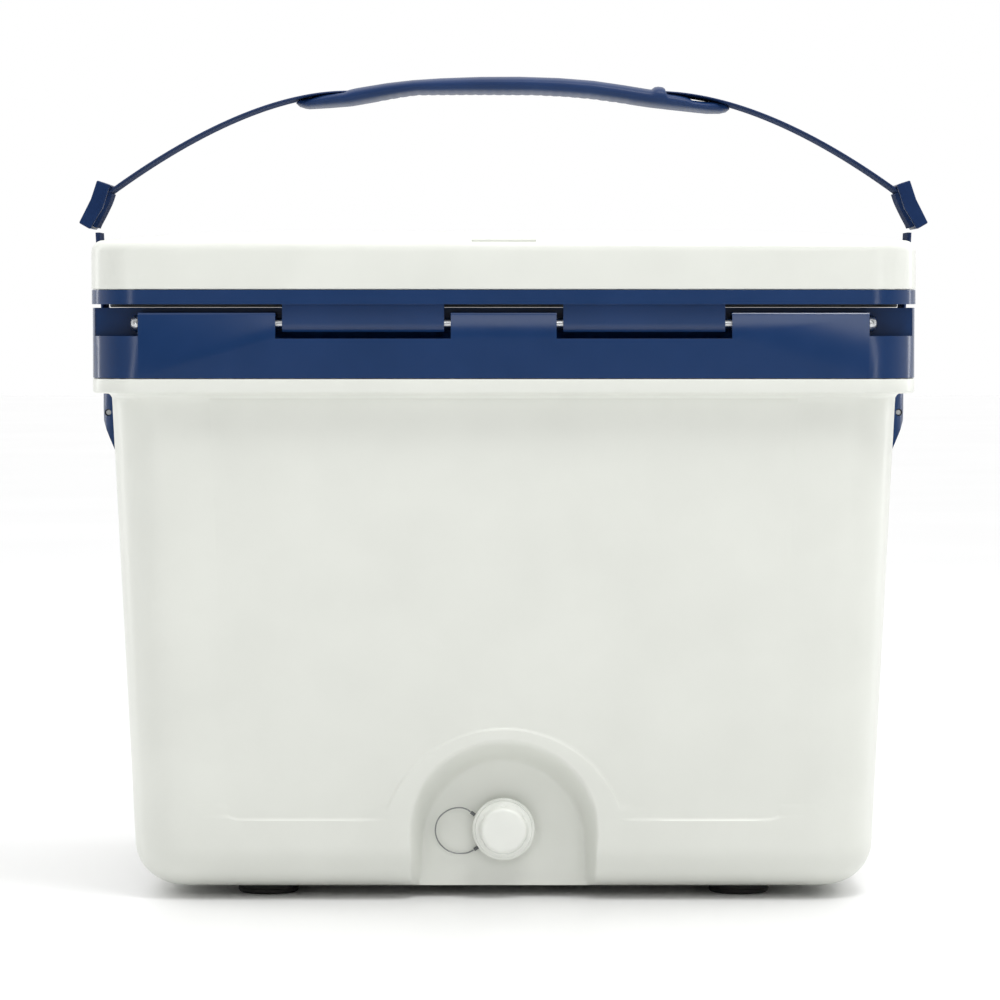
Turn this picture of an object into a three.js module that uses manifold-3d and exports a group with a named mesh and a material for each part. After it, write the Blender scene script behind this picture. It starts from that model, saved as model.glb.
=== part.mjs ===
// A hard-sided chest cooler with a shoulder strap, seen from its hinge side when looking along +Y.
// Millimetres, +Z up. The origin is on the ground under the middle of the box.
import * as THREE from 'three';
import { mergeVertices } from 'three/addons/utils/BufferGeometryUtils.js';
import Module from 'manifold-3d';

const wasm = await Module();
wasm.setup();

// ---- driving dimensions ----
const BOX_WIDTH = 497.3;           // lid, left to right
const BOX_DEPTH = 360;            // lid, back to front
const CORNER_RADIUS = 30;         // lid and rim corners in plan
const FOOT_HEIGHT = 6.4;
const BODY_HEIGHT = 310.6;         // white outer tub with its lip
const RIM_HEIGHT = 42.1;          // moulded rim band
const LID_GAP = 2.1;              // open gap between rim and lid
const BAND_HEIGHT = 8.6;          // lid band
const LID_HEIGHT = 37.3;          // white lid top
const LID_CROWN = 7.7;            // rise of the lid top over its edge
const WALL = 4;                   // shells and rim walls
const LINER_WALL = 3;
const INSULATION = 47;            // lid edge to cavity, at the mouth
const SEAT = 0.3;                 // gap between pieces that seat on each other
const RIM_INSET = 0.5;            // rim stands back from the lid
const LIP_OVERHANG = 10;          // rim lip over the body's side
const LIP_HEIGHT = 9;
const DRAFT = Math.tan(THREE.MathUtils.degToRad(2.55));
const BODY_CORNER = 36;           // body corners in plan
const BODY_EDGE = 26;             // rounding of the body's bottom edge
const FLOOR_RISE = 28;            // body bottom to cavity floor, outside faces
const LINER_EDGE = 16;
const WELL_HALF = 24;             // drain well in the cavity floor, half its width
const WELL_LENGTH = 37;

const HINGE_INSET = 10.5;         // hinge axis to the lid's back face
const HINGE_DROP = 11.5;          // hinge axis below the lid band
const ROD_RADIUS = 3.2;
const ROD_CLEARANCE = 0.3;
const ROD_CAP_RADIUS = 5.2;
const BLOCK_END = 30.2;           // outer block's end to the lid's side
const BLOCK_LENGTH = 82;
const CENTRE_BLOCK = 63.2;
const TAB_SIDE_GAP = 4;
const TAB_RADIUS = 7.5;
const TAB_DROP = 5;               // tab under the hinge axis
const BLOCK_RISE = 6.4;           // block top over the hinge axis
const POCKET_WALL = 2.5;
const POCKET_DROP = 7.5;          // pocket floor under the hinge axis
const SWING_RADIUS = 11.2;        // rim's back edge stays inside this
const NOTCH_DEPTH_Y = 9.3;        // hinge channel in front of the axis
const NOTCH_DROP = 9;

const RECESS_DEPTH = 21.7;
const RECESS_RADIUS = 55.3;
const RECESS_CENTRE_Z = 38.8;
const DRAIN_FOAM = 5.5;           // foam between the recess and the liner
const DRAIN_Z = 42.4;
const PLUG_RADIUS = 19;
const SHANK_RADIUS = 7;
const FITTING_RADIUS = 10.7;
const FLANGE_RADIUS = 17;
const FLANGE_THICKNESS = 3;
const COLLAR_THICKNESS = 2.4;
const NUT_RADIUS = 14;
const NUT_THICKNESS = 5;
const WASHER_THICKNESS = 1.6;
const WIRE_RADIUS = 0.45;
const CRIMP_RADIUS = 1.1;

const FOOT_RADIUS = 18.5;
const FOOT_X = 145;
const FOOT_EDGE = 70;             // foot centre to the lid's back or front face
const FOOT_PAD_RISE = 11;         // level pad over each foot, up into the rounded edge
const SCREW_RADIUS = 2;
const SCREW_HEAD = 4.2;

const LATCH_SPACING = 260;
const LATCH_WIDTH = 36;
const LATCH_POCKET = 40;
const LATCH_PIN_DEPTH = 12;       // pin to the lid's front face
const LATCH_PIN_RISE = 21.5;      // pin over the lid band's bottom
const LATCH_POCKET_DEPTH = 22.5;
const LATCH_PIN_RADIUS = 2;
const LATCH_LENGTH = 61;          // pin to the latch's lower end
const LATCH_OPEN = 6;             // degrees the latch hangs off its keeper

const WEBBING_WIDTH = 38;
const WEBBING = 3;                // webbing thickness
const ADJUSTER_WIDTH = 46;
const PAD_WIDTH = 52;
const SLOT_WALL = 0.8;            // room for the webbing on each face in its slots
const ANCHOR_RADIUS = 2;          // pin that the webbing loops round
const ANCHOR_DROP = 15;           // pin under the lip
const BRACKET_WIDTH = 60;
const BRACKET_CORNER = 12;        // its upright outer edges
const BRACKET_FACE = 1.3;         // plastic outside the webbing
const BRACKET_DROP = 61;          // bracket height under the lip
const CRIMP_LENGTH = 3;

// ---- places worked out from them ----
const HALF_X = BOX_WIDTH / 2;
const HALF_Y = BOX_DEPTH / 2;
const RIM_X = HALF_X - RIM_INSET;
const RIM_Y = HALF_Y - RIM_INSET;
const BODY_TOP = FOOT_HEIGHT + BODY_HEIGHT;
const LIP_BASE = BODY_TOP - LIP_HEIGHT;
const RIM_BASE = BODY_TOP + SEAT;
const RIM_TOP = RIM_BASE + RIM_HEIGHT;
const LID_BASE = RIM_TOP + LID_GAP;
const BAND_TOP = LID_BASE + BAND_HEIGHT;
const SHELL_BASE = BAND_TOP + SEAT;
const LID_TOP = SHELL_BASE + LID_HEIGHT;
const AXIS_Y = -HALF_Y + HINGE_INSET;
const AXIS_Z = LID_BASE - HINGE_DROP;
const BORE_RADIUS = ROD_RADIUS + ROD_CLEARANCE;
const BLOCK_OUTER = HALF_X - BLOCK_END;
const BLOCK_INNER = BLOCK_OUTER - BLOCK_LENGTH;
const LIP_STEP = 1.5;             // slope under the lip
const bodyX = (z) => RIM_X - LIP_OVERHANG - (LIP_BASE - LIP_STEP - z) * DRAFT;
const bodyY = (z) => RIM_Y - LIP_OVERHANG - (LIP_BASE - LIP_STEP - z) * DRAFT;
const linerX = (z) => HALF_X - INSULATION - (RIM_TOP - z) * DRAFT;
const linerY = (z) => HALF_Y - INSULATION - (RIM_TOP - z) * DRAFT;
const LINER_FLOOR = FOOT_HEIGHT + FLOOR_RISE + LINER_WALL;
const RECESS_Y = -bodyY(DRAIN_Z) + RECESS_DEPTH;
const WELL_BACK = RECESS_Y + WALL + DRAIN_FOAM + LINER_WALL;
const FLANGE_FRONT = RECESS_Y - SEAT - FLANGE_THICKNESS;
const LATCH_Y = HALF_Y - LATCH_PIN_DEPTH;
const LATCH_Z = LID_BASE + LATCH_PIN_RISE;
const LATCH_FLOOR_Y = HALF_Y - LATCH_POCKET_DEPTH;
const SIDES = [['left', -1], ['right', 1]];
const CUT = 1;                    // how far a cut runs past a face

// ---- solids ----
function solidOf(geometry) {
  const bare = geometry.clone();
  bare.deleteAttribute('normal');
  bare.deleteAttribute('uv');
  const merged = mergeVertices(bare, 1e-4);
  const triVerts = new Uint32Array(merged.index.array);
  const vertProperties = new Float32Array(merged.attributes.position.array);
  return new wasm.Manifold(new wasm.Mesh({ numProp: 3, vertProperties, triVerts }));
}

function geometryOf(solid) {
  const mesh = solid.getMesh();
  const geometry = new THREE.BufferGeometry();
  geometry.setAttribute('position', new THREE.BufferAttribute(mesh.vertProperties, 3));
  geometry.setIndex(new THREE.BufferAttribute(mesh.triVerts, 1));
  geometry.computeVertexNormals();
  return geometry;
}

function box(x0, x1, y0, y1, z0, z1) {
  const geometry = new THREE.BoxGeometry(x1 - x0, y1 - y0, z1 - z0);
  geometry.translate((x0 + x1) / 2, (y0 + y1) / 2, (z0 + z1) / 2);
  return solidOf(geometry);
}

// A round-cornered rectangle, as points anticlockwise.
function outline(halfX, halfY, radius, steps = 5) {
  const corners = [[1, 1], [-1, 1], [-1, -1], [1, -1]];
  return corners.flatMap(([sx, sy], quarter) => Array.from({ length: steps + 1 }, (_, i) => {
    const angle = (quarter + i / steps) * Math.PI / 2;
    const x = sx * (halfX - radius) + radius * Math.cos(angle);
    const y = sy * (halfY - radius) + radius * Math.sin(angle);
    return [x, y];
  }));
}

// Round-cornered sections [z, halfX, halfY, radius] stacked from the bottom up and closed.
function loft(levels) {
  const rings = levels.map(([z, halfX, halfY, radius]) =>
    outline(halfX, halfY, radius).map(([x, y]) => [x, y, z]));
  const count = rings[0].length;
  const last = (rings.length - 1) * count;
  const positions = rings.flat();
  positions.push([0, 0, levels[0][0]], [0, 0, levels.at(-1)[0]]);
  const bottom = positions.length - 2;
  const index = [];
  for (let i = 0; i < count; i += 1) {
    const next = (i + 1) % count;
    index.push(bottom, next, i, bottom + 1, last + i, last + next);
    for (let ring = 0; ring < last; ring += count) {
      index.push(ring + i, ring + next, ring + count + next);
      index.push(ring + i, ring + count + next, ring + count + i);
    }
  }
  const geometry = new THREE.BufferGeometry();
  geometry.setAttribute('position', new THREE.Float32BufferAttribute(positions.flat(), 3));
  geometry.setIndex(index);
  return solidOf(geometry);
}

const slab = (halfX, halfY, radius, z0, z1) => loft([[z0, halfX, halfY, radius], [z1, halfX, halfY, radius]]);

// A profile of [radius, height] pairs turned about Z.
function turned(profile, segments = 24) {
  const points = profile.map(([r, h]) => new THREE.Vector2(r, h));
  return solidOf(new THREE.LatheGeometry(points, segments).rotateX(Math.PI / 2));
}

// The same, with its height running towards +X, -X, or -Y.
const turnedX = (profile, segments) => turned(profile, segments).rotate([0, 90, 0]);
const turnedBack = (profile, segments) => turned(profile, segments).rotate([90, 0, 0]);

function rodZ(radius, z0, z1, segments) {
  return turned([[0, z0], [radius, z0], [radius, z1], [0, z1]], segments);
}

function rodX(radius, x0, x1, y, z, segments = 24) {
  return turnedX([[0, x0], [radius, x0], [radius, x1], [0, x1]], segments).translate([0, y, z]);
}

function rodY(radius, y0, y1, x, z, segments = 24) {
  return turnedBack([[0, -y1], [radius, -y1], [radius, -y0], [0, -y0]], segments).translate([x, 0, z]);
}

function shapeOf(points) {
  return new THREE.Shape(points.map(([a, b]) => new THREE.Vector2(a, b)));
}

// An outline in x and z, carried along Y.
function alongY(points, y0, y1) {
  const geometry = new THREE.ExtrudeGeometry(shapeOf(points), { depth: y1 - y0, bevelEnabled: false });
  geometry.rotateX(Math.PI / 2);
  geometry.translate(0, y1, 0);
  return solidOf(geometry);
}

// An outline in y and z, carried along X.
function alongX(points, x0, x1) {
  const geometry = new THREE.ExtrudeGeometry(shapeOf(points), { depth: x1 - x0, bevelEnabled: false });
  geometry.rotateX(Math.PI / 2);
  geometry.rotateZ(Math.PI / 2);
  geometry.translate(x0, 0, 0);
  return solidOf(geometry);
}

function arc(cx, cy, radius, from, to, steps) {
  return Array.from({ length: steps + 1 }, (_, i) => {
    const angle = THREE.MathUtils.degToRad(from + (to - from) * i / steps);
    return [cx + radius * Math.cos(angle), cy + radius * Math.sin(angle)];
  });
}

// A band of even thickness along a curve in x and z.
function band(curve, thickness, steps) {
  const upper = [];
  const lower = [];
  for (let i = 0; i <= steps; i += 1) {
    const point = curve.getPoint(i / steps);
    const tangent = curve.getTangent(i / steps);
    upper.push([point.x - tangent.y * thickness / 2, point.y + tangent.x * thickness / 2]);
    lower.unshift([point.x + tangent.y * thickness / 2, point.y - tangent.x * thickness / 2]);
  }
  return [...upper, ...lower];
}

const mirrored = (solid, side) => (side > 0 ? solid : solid.mirror([1, 0, 0]));

// ---- materials ----
const FINISHES = {
  white: { color: 0xdddfd8, roughness: 0.35, metalness: 0 },
  navy: { color: 0x233d63, roughness: 0.4, metalness: 0 },
  webbing: { color: 0x203a66, roughness: 0.9, metalness: 0 },
  foam: { color: 0xe8dcb0, roughness: 0.9, metalness: 0 },
  rubber: { color: 0x1a1a1a, roughness: 0.8, metalness: 0 },
  latchRubber: { color: 0x233d63, roughness: 0.7, metalness: 0 },
  seal: { color: 0x6b6e70, roughness: 0.8, metalness: 0 },
  steel: { color: 0xb9bcbe, roughness: 0.3, metalness: 1 },
  crimp: { color: 0x5b5e60, roughness: 0.6, metalness: 0.6 },
};
const group = new THREE.Group();

function addMesh(name, solid, finish) {
  const mesh = new THREE.Mesh(geometryOf(solid), new THREE.MeshStandardMaterial(FINISHES[finish]));
  mesh.name = name;
  group.add(mesh);
}

// ---- body of the tub: levels inset by a wall, for the outside, the cavity and the foam ----
function bodySolid(inset, top) {
  const edge = BODY_EDGE - inset;
  const rounded = arc(0, 0, 1, 0, 90, 4).map(([cos, sin]) => {
    const z = FOOT_HEIGHT + inset + edge * (1 - cos);
    const back = inset + edge * (1 - sin);
    return [z, bodyX(z) - back, bodyY(z) - back, BODY_CORNER - back];
  });
  const under = LIP_BASE - LIP_STEP + inset * 0.4;
  const over = LIP_BASE + inset;
  return loft([...rounded,
    [under, bodyX(under) - inset, bodyY(under) - inset, BODY_CORNER - inset],
    [over, RIM_X - inset, RIM_Y - inset, CORNER_RADIUS - inset],
    [top, RIM_X - inset, RIM_Y - inset, CORNER_RADIUS - inset]]);
}

function linerSolid(grow, top) {
  const edge = LINER_EDGE + grow;
  const rounded = arc(0, 0, 1, 0, 90, 4).map(([cos, sin]) => {
    const z = LINER_FLOOR - grow + edge * (1 - cos);
    const back = edge * (1 - sin) - grow;
    return [z, linerX(z) - back, linerY(z) - back, BODY_CORNER - back];
  });
  return loft([...rounded, [top, linerX(top) + grow, linerY(top) + grow, BODY_CORNER + grow]]);
}

// The low well in the cavity floor that lets the drain take the last water.
function wellSolid(grow) {
  const half = WELL_HALF + grow;
  const low = DRAIN_Z - NUT_RADIUS - 3 - grow;
  const high = DRAIN_Z + NUT_RADIUS + 2 + grow;
  return box(-half, half, WELL_BACK - grow, WELL_BACK + WELL_LENGTH + grow, low, high);
}

// The arched pocket round the drain, open at the bottom edge.
function recessSolid(grow) {
  const radius = RECESS_RADIUS + grow;
  const arch = arc(0, RECESS_CENTRE_Z, radius, 0, 180, 20);
  return alongY([[radius, -CUT], ...arch, [-radius, -CUT]], -HALF_Y - CUT, RECESS_Y + grow);
}

// The liner's outside or inside face: it stays clear of the recess, and has the well in its floor.
function linerFace(grow, top) {
  const clear = WALL + DRAIN_FOAM + LINER_WALL - grow;
  return linerSolid(grow, top).subtract(recessSolid(clear)).add(wellSolid(grow));
}

function latchPocket(side, grow, z0, z1) {
  const x = side * LATCH_SPACING / 2;
  const half = LATCH_POCKET / 2 + grow;
  return box(x - half, x + half, LATCH_FLOOR_Y - grow, HALF_Y + CUT, z0, z1);
}

function rimChannel(gap) {
  const inset = WALL + gap;
  let channel = slab(RIM_X - inset, RIM_Y - inset, CORNER_RADIUS - inset, RIM_BASE - CUT, RIM_TOP - inset);
  channel = channel.subtract(linerSolid(LINER_WALL + SEAT + inset, RIM_TOP));
  const barFront = AXIS_Y + NOTCH_DEPTH_Y + inset;
  channel = channel.subtract(box(-HALF_X, HALF_X, -HALF_Y, barFront, 0, RIM_TOP));
  for (const [, side] of SIDES) {
    channel = channel.subtract(latchPocket(side, inset, 0, RIM_TOP));
  }
  return channel;
}

const footPlaces = [-1, 1].flatMap((sy) => SIDES.map(([name, sx]) => ({
  name: `${sy < 0 ? 'back' : 'front'}_${name}`, x: sx * FOOT_X, y: sy * (HALF_Y - FOOT_EDGE),
})));
const FOOT_SCREW_TIP = FOOT_HEIGHT + WALL + 6;
const BRACKET_SCREW_Z = LIP_BASE - 48;
const BRACKET_SCREW_Y = 21;
const BRACKET_SCREW_TIP = 16;     // screw length past the body's side
const bracketScrews = [['back', -BRACKET_SCREW_Y], ['front', BRACKET_SCREW_Y]];

function screwHoles(radius, extra) {
  const holes = footPlaces.map(({ x, y }) =>
    rodZ(radius, FOOT_HEIGHT - CUT, FOOT_SCREW_TIP + extra, 12).translate([x, y, 0]));
  for (const [, side] of SIDES) {
    for (const [, y] of bracketScrews) {
      const tip = bodyX(BRACKET_SCREW_Z) - BRACKET_SCREW_TIP - extra;
      holes.push(mirrored(rodX(radius, tip, RIM_X, y, BRACKET_SCREW_Z, 12), side));
    }
  }
  return holes;
}

const drainHole = (radius) => rodY(radius, RECESS_Y - CUT, WELL_BACK + LINER_WALL + CUT, 0, DRAIN_Z);

function makeShell() {
  const cavity = bodySolid(WALL, BODY_TOP + CUT).subtract(recessSolid(WALL));
  let outside = bodySolid(0, BODY_TOP);
  for (const { x, y } of footPlaces) {
    const pad = rodZ(FOOT_RADIUS, FOOT_HEIGHT, FOOT_HEIGHT + FOOT_PAD_RISE, 20);
    outside = outside.add(pad.translate([x, y, 0]));
  }
  let shell = outside.subtract(recessSolid(0)).subtract(cavity);
  shell = shell.subtract(drainHole(FITTING_RADIUS + SEAT));
  for (const hole of screwHoles(SCREW_RADIUS + SEAT, 0)) {
    shell = shell.subtract(hole);
  }
  return shell;
}

function makeFoam() {
  const gap = WALL + SEAT;
  let foam = bodySolid(gap, BODY_TOP).add(rimChannel(SEAT));
  foam = foam.subtract(linerFace(LINER_WALL + SEAT, RIM_TOP));
  foam = foam.subtract(recessSolid(gap)).subtract(drainHole(FITTING_RADIUS + 2 * SEAT));
  for (const hole of screwHoles(SCREW_RADIUS + 2 * SEAT, SEAT)) {
    foam = foam.subtract(hole);
  }
  return foam;
}

function makeLiner() {
  const hollow = linerFace(LINER_WALL, RIM_TOP).subtract(linerFace(0, RIM_TOP + CUT));
  return hollow.subtract(drainHole(FITTING_RADIUS + SEAT));
}

// ---- rim with its hinge blocks, corner pockets and latch keepers ----
function hingeNotches() {
  const inner = AXIS_Y + NOTCH_DEPTH_Y;
  const outer = -HALF_Y - CUT;
  const cuts = [box(-BLOCK_OUTER, BLOCK_OUTER, outer, inner, AXIS_Z + BLOCK_RISE, RIM_TOP + CUT)];
  for (const [, side] of SIDES) {
    const from = CENTRE_BLOCK / 2;
    const upper = box(from, BLOCK_INNER, outer, inner, AXIS_Z, RIM_TOP + CUT);
    const lower = box(from, BLOCK_INNER, outer, AXIS_Y, AXIS_Z - NOTCH_DROP, AXIS_Z + CUT);
    const trough = rodX(NOTCH_DEPTH_Y, from, BLOCK_INNER, AXIS_Y, AXIS_Z);
    cuts.push(mirrored(upper.add(lower).add(trough), side));
    const post = RIM_X - POCKET_WALL;
    cuts.push(mirrored(box(BLOCK_OUTER, post, outer, inner, AXIS_Z - POCKET_DROP, RIM_TOP + CUT), side));
  }
  return cuts;
}

function backEdge() {
  const corner = box(-HALF_X, HALF_X, -HALF_Y - CUT, AXIS_Y, AXIS_Z, RIM_TOP + CUT);
  return corner.subtract(rodX(SWING_RADIUS, -BOX_WIDTH, BOX_WIDTH, AXIS_Y, AXIS_Z, 96));
}

const KEEPER_TOP = 42;            // under the latch pin
const KEEPER_BOTTOM = 49.2;
const KEEPER_REACH = 4.6;         // keeper's tip behind the latch pin
const KEEPER_WIDTH = 28;

function makeRim() {
  let rim = slab(RIM_X, RIM_Y, CORNER_RADIUS, RIM_BASE, RIM_TOP);
  rim = rim.subtract(linerSolid(LINER_WALL + SEAT, RIM_TOP + CUT)).subtract(rimChannel(0));
  for (const cut of hingeNotches()) {
    rim = rim.subtract(cut);
  }
  rim = rim.subtract(backEdge());
  rim = rim.subtract(rodX(BORE_RADIUS, -BLOCK_OUTER - CUT, BLOCK_OUTER + CUT, AXIS_Y, AXIS_Z));
  for (const [, side] of SIDES) {
    rim = rim.subtract(latchPocket(side, 0, RIM_BASE - CUT, RIM_TOP + CUT));
    const x = side * LATCH_SPACING / 2;
    const keeper = box(x - KEEPER_WIDTH / 2, x + KEEPER_WIDTH / 2, LATCH_FLOOR_Y - CUT,
      LATCH_Y - KEEPER_REACH, LATCH_Z - KEEPER_BOTTOM, LATCH_Z - KEEPER_TOP);
    rim = rim.add(keeper);
  }
  return rim;
}

// ---- lid ----
const GASKET_X = HALF_X - 9;
const GASKET_Y = HALF_Y - 28;
const GASKET_WIDTH = 7;
const GASKET_DEPTH = 1.7;         // gasket height held in the band
const PAN_X = GASKET_X - GASKET_WIDTH - 24;
const PAN_Y = GASKET_Y - GASKET_WIDTH - 5;
const PAN_WALL = 2.5;
const LID_NOTCH = 38.5;
const LID_NOTCH_DROP = 9;
const LID_NOTCH_REACH = 9;

function gasketRing(grow, z0, z1) {
  const outer = slab(GASKET_X + grow, GASKET_Y + grow, 24 + grow, z0, z1);
  const inset = GASKET_WIDTH + grow;
  return outer.subtract(slab(GASKET_X - inset, GASKET_Y - inset, 24 - inset, z0 - CUT, z1 + CUT));
}

function lidSolid(inset, base) {
  const edge = 6 - inset / 2;
  const side = LID_TOP - LID_CROWN - inset;
  const rounded = arc(0, 0, 1, 0, 90, 3).map(([cos, sin]) => {
    const back = inset + edge * (1 - cos);
    return [side - edge * (1 - sin), HALF_X - back, HALF_Y - back, CORNER_RADIUS - back];
  });
  const crown = [[0.6, 0.93], [0.87, 0.82], [1, 0.62]].map(([rise, spread]) =>
    [side + LID_CROWN * rise, (HALF_X - inset) * spread, (HALF_Y - inset) * spread, 24]);
  return loft([[base, HALF_X - inset, HALF_Y - inset, CORNER_RADIUS - inset], ...rounded, ...crown]);
}

function lidNotch(grow) {
  const half = LID_NOTCH / 2 + grow;
  return box(-half, half, -HALF_Y - CUT, -HALF_Y + LID_NOTCH_REACH + grow, LID_TOP - LID_NOTCH_DROP - grow,
    LID_TOP + CUT);
}

const LATCH_POCKET_TOP = LATCH_Z + 9;

function latchPinBore(side, radius, half) {
  const x = side * LATCH_SPACING / 2;
  return rodX(radius, x - half, x + half, LATCH_Y, LATCH_Z, 16);
}

function lidCavity(inset, base) {
  let cavity = lidSolid(inset, base).subtract(lidNotch(inset));
  for (const [, side] of SIDES) {
    cavity = cavity.subtract(latchPocket(side, inset, 0, LATCH_POCKET_TOP + inset));
  }
  return cavity;
}

function makeLidShell() {
  let shell = lidSolid(0, SHELL_BASE).subtract(lidNotch(0)).subtract(lidCavity(WALL, SHELL_BASE - CUT));
  for (const [, side] of SIDES) {
    shell = shell.subtract(latchPocket(side, 0, 0, LATCH_POCKET_TOP));
    shell = shell.subtract(latchPinBore(side, LATCH_PIN_RADIUS + SEAT, LATCH_POCKET / 2 + WALL + CUT));
  }
  return shell;
}

function tabProfile() {
  const side = THREE.MathUtils.radToDeg(Math.asin(TAB_DROP / TAB_RADIUS));
  const right = arc(AXIS_Y, AXIS_Z, TAB_RADIUS, -side, 0, 4);
  const left = arc(AXIS_Y, AXIS_Z, TAB_RADIUS, 180, 180 + side, 4);
  const top = LID_BASE + CUT;
  return [...right, [AXIS_Y + TAB_RADIUS, top], [AXIS_Y - TAB_RADIUS, top], ...left];
}

function makeLidFrame() {
  let frame = slab(HALF_X, HALF_Y, CORNER_RADIUS, LID_BASE, BAND_TOP);
  frame = frame.subtract(slab(PAN_X + SEAT, PAN_Y + SEAT, 24, LID_BASE - CUT, BAND_TOP + CUT));
  frame = frame.subtract(gasketRing(SEAT, LID_BASE - CUT, LID_BASE + GASKET_DEPTH + SEAT));
  for (const [, side] of SIDES) {
    frame = frame.subtract(latchPocket(side, 0, 0, LATCH_POCKET_TOP));
    const tab = alongX(tabProfile(), CENTRE_BLOCK / 2 + TAB_SIDE_GAP, BLOCK_INNER - TAB_SIDE_GAP);
    frame = frame.add(mirrored(tab, side));
  }
  return frame.subtract(rodX(BORE_RADIUS, -HALF_X, HALF_X, AXIS_Y, AXIS_Z));
}

function makeLidLiner() {
  const pan = slab(PAN_X, PAN_Y, 24, LID_BASE, BAND_TOP);
  return pan.subtract(slab(PAN_X - PAN_WALL, PAN_Y - PAN_WALL, 24, LID_BASE + PAN_WALL, BAND_TOP + CUT));
}

function makeLidFoam() {
  const inset = PAN_WALL + SEAT;
  const lower = slab(PAN_X - inset, PAN_Y - inset, 24, LID_BASE + inset, SHELL_BASE + CUT);
  return lidCavity(WALL + SEAT, SHELL_BASE + SEAT).add(lower);
}

// ---- tub pieces ----
addMesh('tub_shell', makeShell(), 'white');
addMesh('tub_foam', makeFoam(), 'foam');
addMesh('tub_liner', makeLiner(), 'white');
addMesh('rim_frame', makeRim(), 'navy');

for (const { name, x, y } of footPlaces) {
  const top = FOOT_HEIGHT - SEAT;
  const bore = SCREW_RADIUS + SEAT;
  const well = SCREW_HEAD + 0.8;
  const profile = [[well, 0], [FOOT_RADIUS - 1.5, 0], [FOOT_RADIUS, 1.5], [FOOT_RADIUS, top], [bore, top],
    [bore, 4], [well, 4], [well, 0]];
  addMesh(`foot_${name}`, turned(profile, 20).translate([x, y, 0]), 'rubber');
  const head = 4 - SEAT;
  const screw = [[0, 1], [SCREW_HEAD - 1, 1], [SCREW_HEAD, 1.8], [SCREW_HEAD, head], [SCREW_RADIUS, head],
    [SCREW_RADIUS, FOOT_SCREW_TIP - 2], [0, FOOT_SCREW_TIP]];
  addMesh(`foot_screw_${name}`, turned(screw, 12).translate([x, y, 0]), 'steel');
}

const ROD_REACH = 2;              // rod end past the outer block
const rodEnd = BLOCK_OUTER + ROD_REACH;
addMesh('hinge_rod', rodX(ROD_RADIUS, -rodEnd, rodEnd, AXIS_Y, AXIS_Z), 'steel');
for (const [name, side] of SIDES) {
  const bore = ROD_RADIUS + SEAT;
  const dome = arc(0, 1, 1, 0, 90, 3).map(([r, h]) => [r * ROD_CAP_RADIUS, 1 + (h - 1) * 4]);
  const seat = ROD_REACH + SEAT;
  const cap = turnedX([[bore, 0], [ROD_CAP_RADIUS, 0], ...dome, [0, seat], [bore, seat], [bore, 0]], 16);
  const placed = cap.translate([BLOCK_OUTER + SEAT, AXIS_Y, AXIS_Z]);
  addMesh(`hinge_rod_cap_${name}`, mirrored(placed, side), 'steel');
}

// Drain: flanged tube from the recess into the well, with its nut and washer inside.
const TUBE_END = WELL_BACK + 2 * SEAT + WASHER_THICKNESS + NUT_THICKNESS + 2;
const tubeDepth = -(TUBE_END - FLANGE_FRONT);
const FITTING_BORE = SHANK_RADIUS + 0.4;
const atDrain = (profile, segments) => turnedBack(profile, segments).translate([0, FLANGE_FRONT, DRAIN_Z]);
addMesh('drain_fitting', atDrain([[FITTING_BORE, 0], [FITTING_BORE, tubeDepth], [FITTING_RADIUS, tubeDepth],
  [FITTING_RADIUS, -FLANGE_THICKNESS], [FLANGE_RADIUS, -FLANGE_THICKNESS], [FLANGE_RADIUS, 0],
  [FITTING_BORE, 0]]), 'white');
function ringBehindWall(outer, gap, thickness) {
  const near = FLANGE_FRONT - WELL_BACK - gap;
  const inner = FITTING_RADIUS + SEAT;
  return atDrain([[inner, near - thickness], [outer, near - thickness], [outer, near], [inner, near],
    [inner, near - thickness]]);
}
addMesh('drain_washer', ringBehindWall(NUT_RADIUS - 0.5, SEAT, WASHER_THICKNESS), 'rubber');
addMesh('drain_nut', ringBehindWall(NUT_RADIUS, WASHER_THICKNESS + 2 * SEAT, NUT_THICKNESS), 'white');

// Plug: heights run outwards from the fitting's face.
const NECK_RADIUS = 9;
const COLLAR_BACK = 0.4;
const CAP_BACK = COLLAR_BACK + COLLAR_THICKNESS + SEAT;
const GROOVE_RADIUS = 5.6;
const GROOVE = [-8, -5.8];
const plugHead = [[PLUG_RADIUS, 0], [PLUG_RADIUS, 2.4], [PLUG_RADIUS - 1.6, 3.2], [PLUG_RADIUS - 1.8, 5.2],
  [PLUG_RADIUS - 3.6, 6], [PLUG_RADIUS - 5.2, 11.5], [PLUG_RADIUS - 6.4, 12.6]];
addMesh('drain_plug', atDrain([[0, -20], [SHANK_RADIUS - 1, -20], [SHANK_RADIUS, -19],
  [SHANK_RADIUS, GROOVE[0]],
  [GROOVE_RADIUS, GROOVE[0]], [GROOVE_RADIUS, GROOVE[1]], [SHANK_RADIUS, GROOVE[1]], [SHANK_RADIUS, SEAT],
  [NECK_RADIUS, SEAT], [NECK_RADIUS, CAP_BACK], ...plugHead.map(([r, h]) => [r, CAP_BACK + h]),
  [0, CAP_BACK + 12.6]], 28), 'white');
const RING_IN = GROOVE_RADIUS + 0.15;
const RING_OUT = FITTING_BORE - 0.15;
addMesh('plug_oring', atDrain([[RING_IN, GROOVE[0] + SEAT], [RING_OUT, GROOVE[0] + SEAT],
  [RING_OUT, GROOVE[1] - SEAT], [RING_IN, GROOVE[1] - SEAT], [RING_IN, GROOVE[0] + SEAT]], 20), 'rubber');
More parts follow.
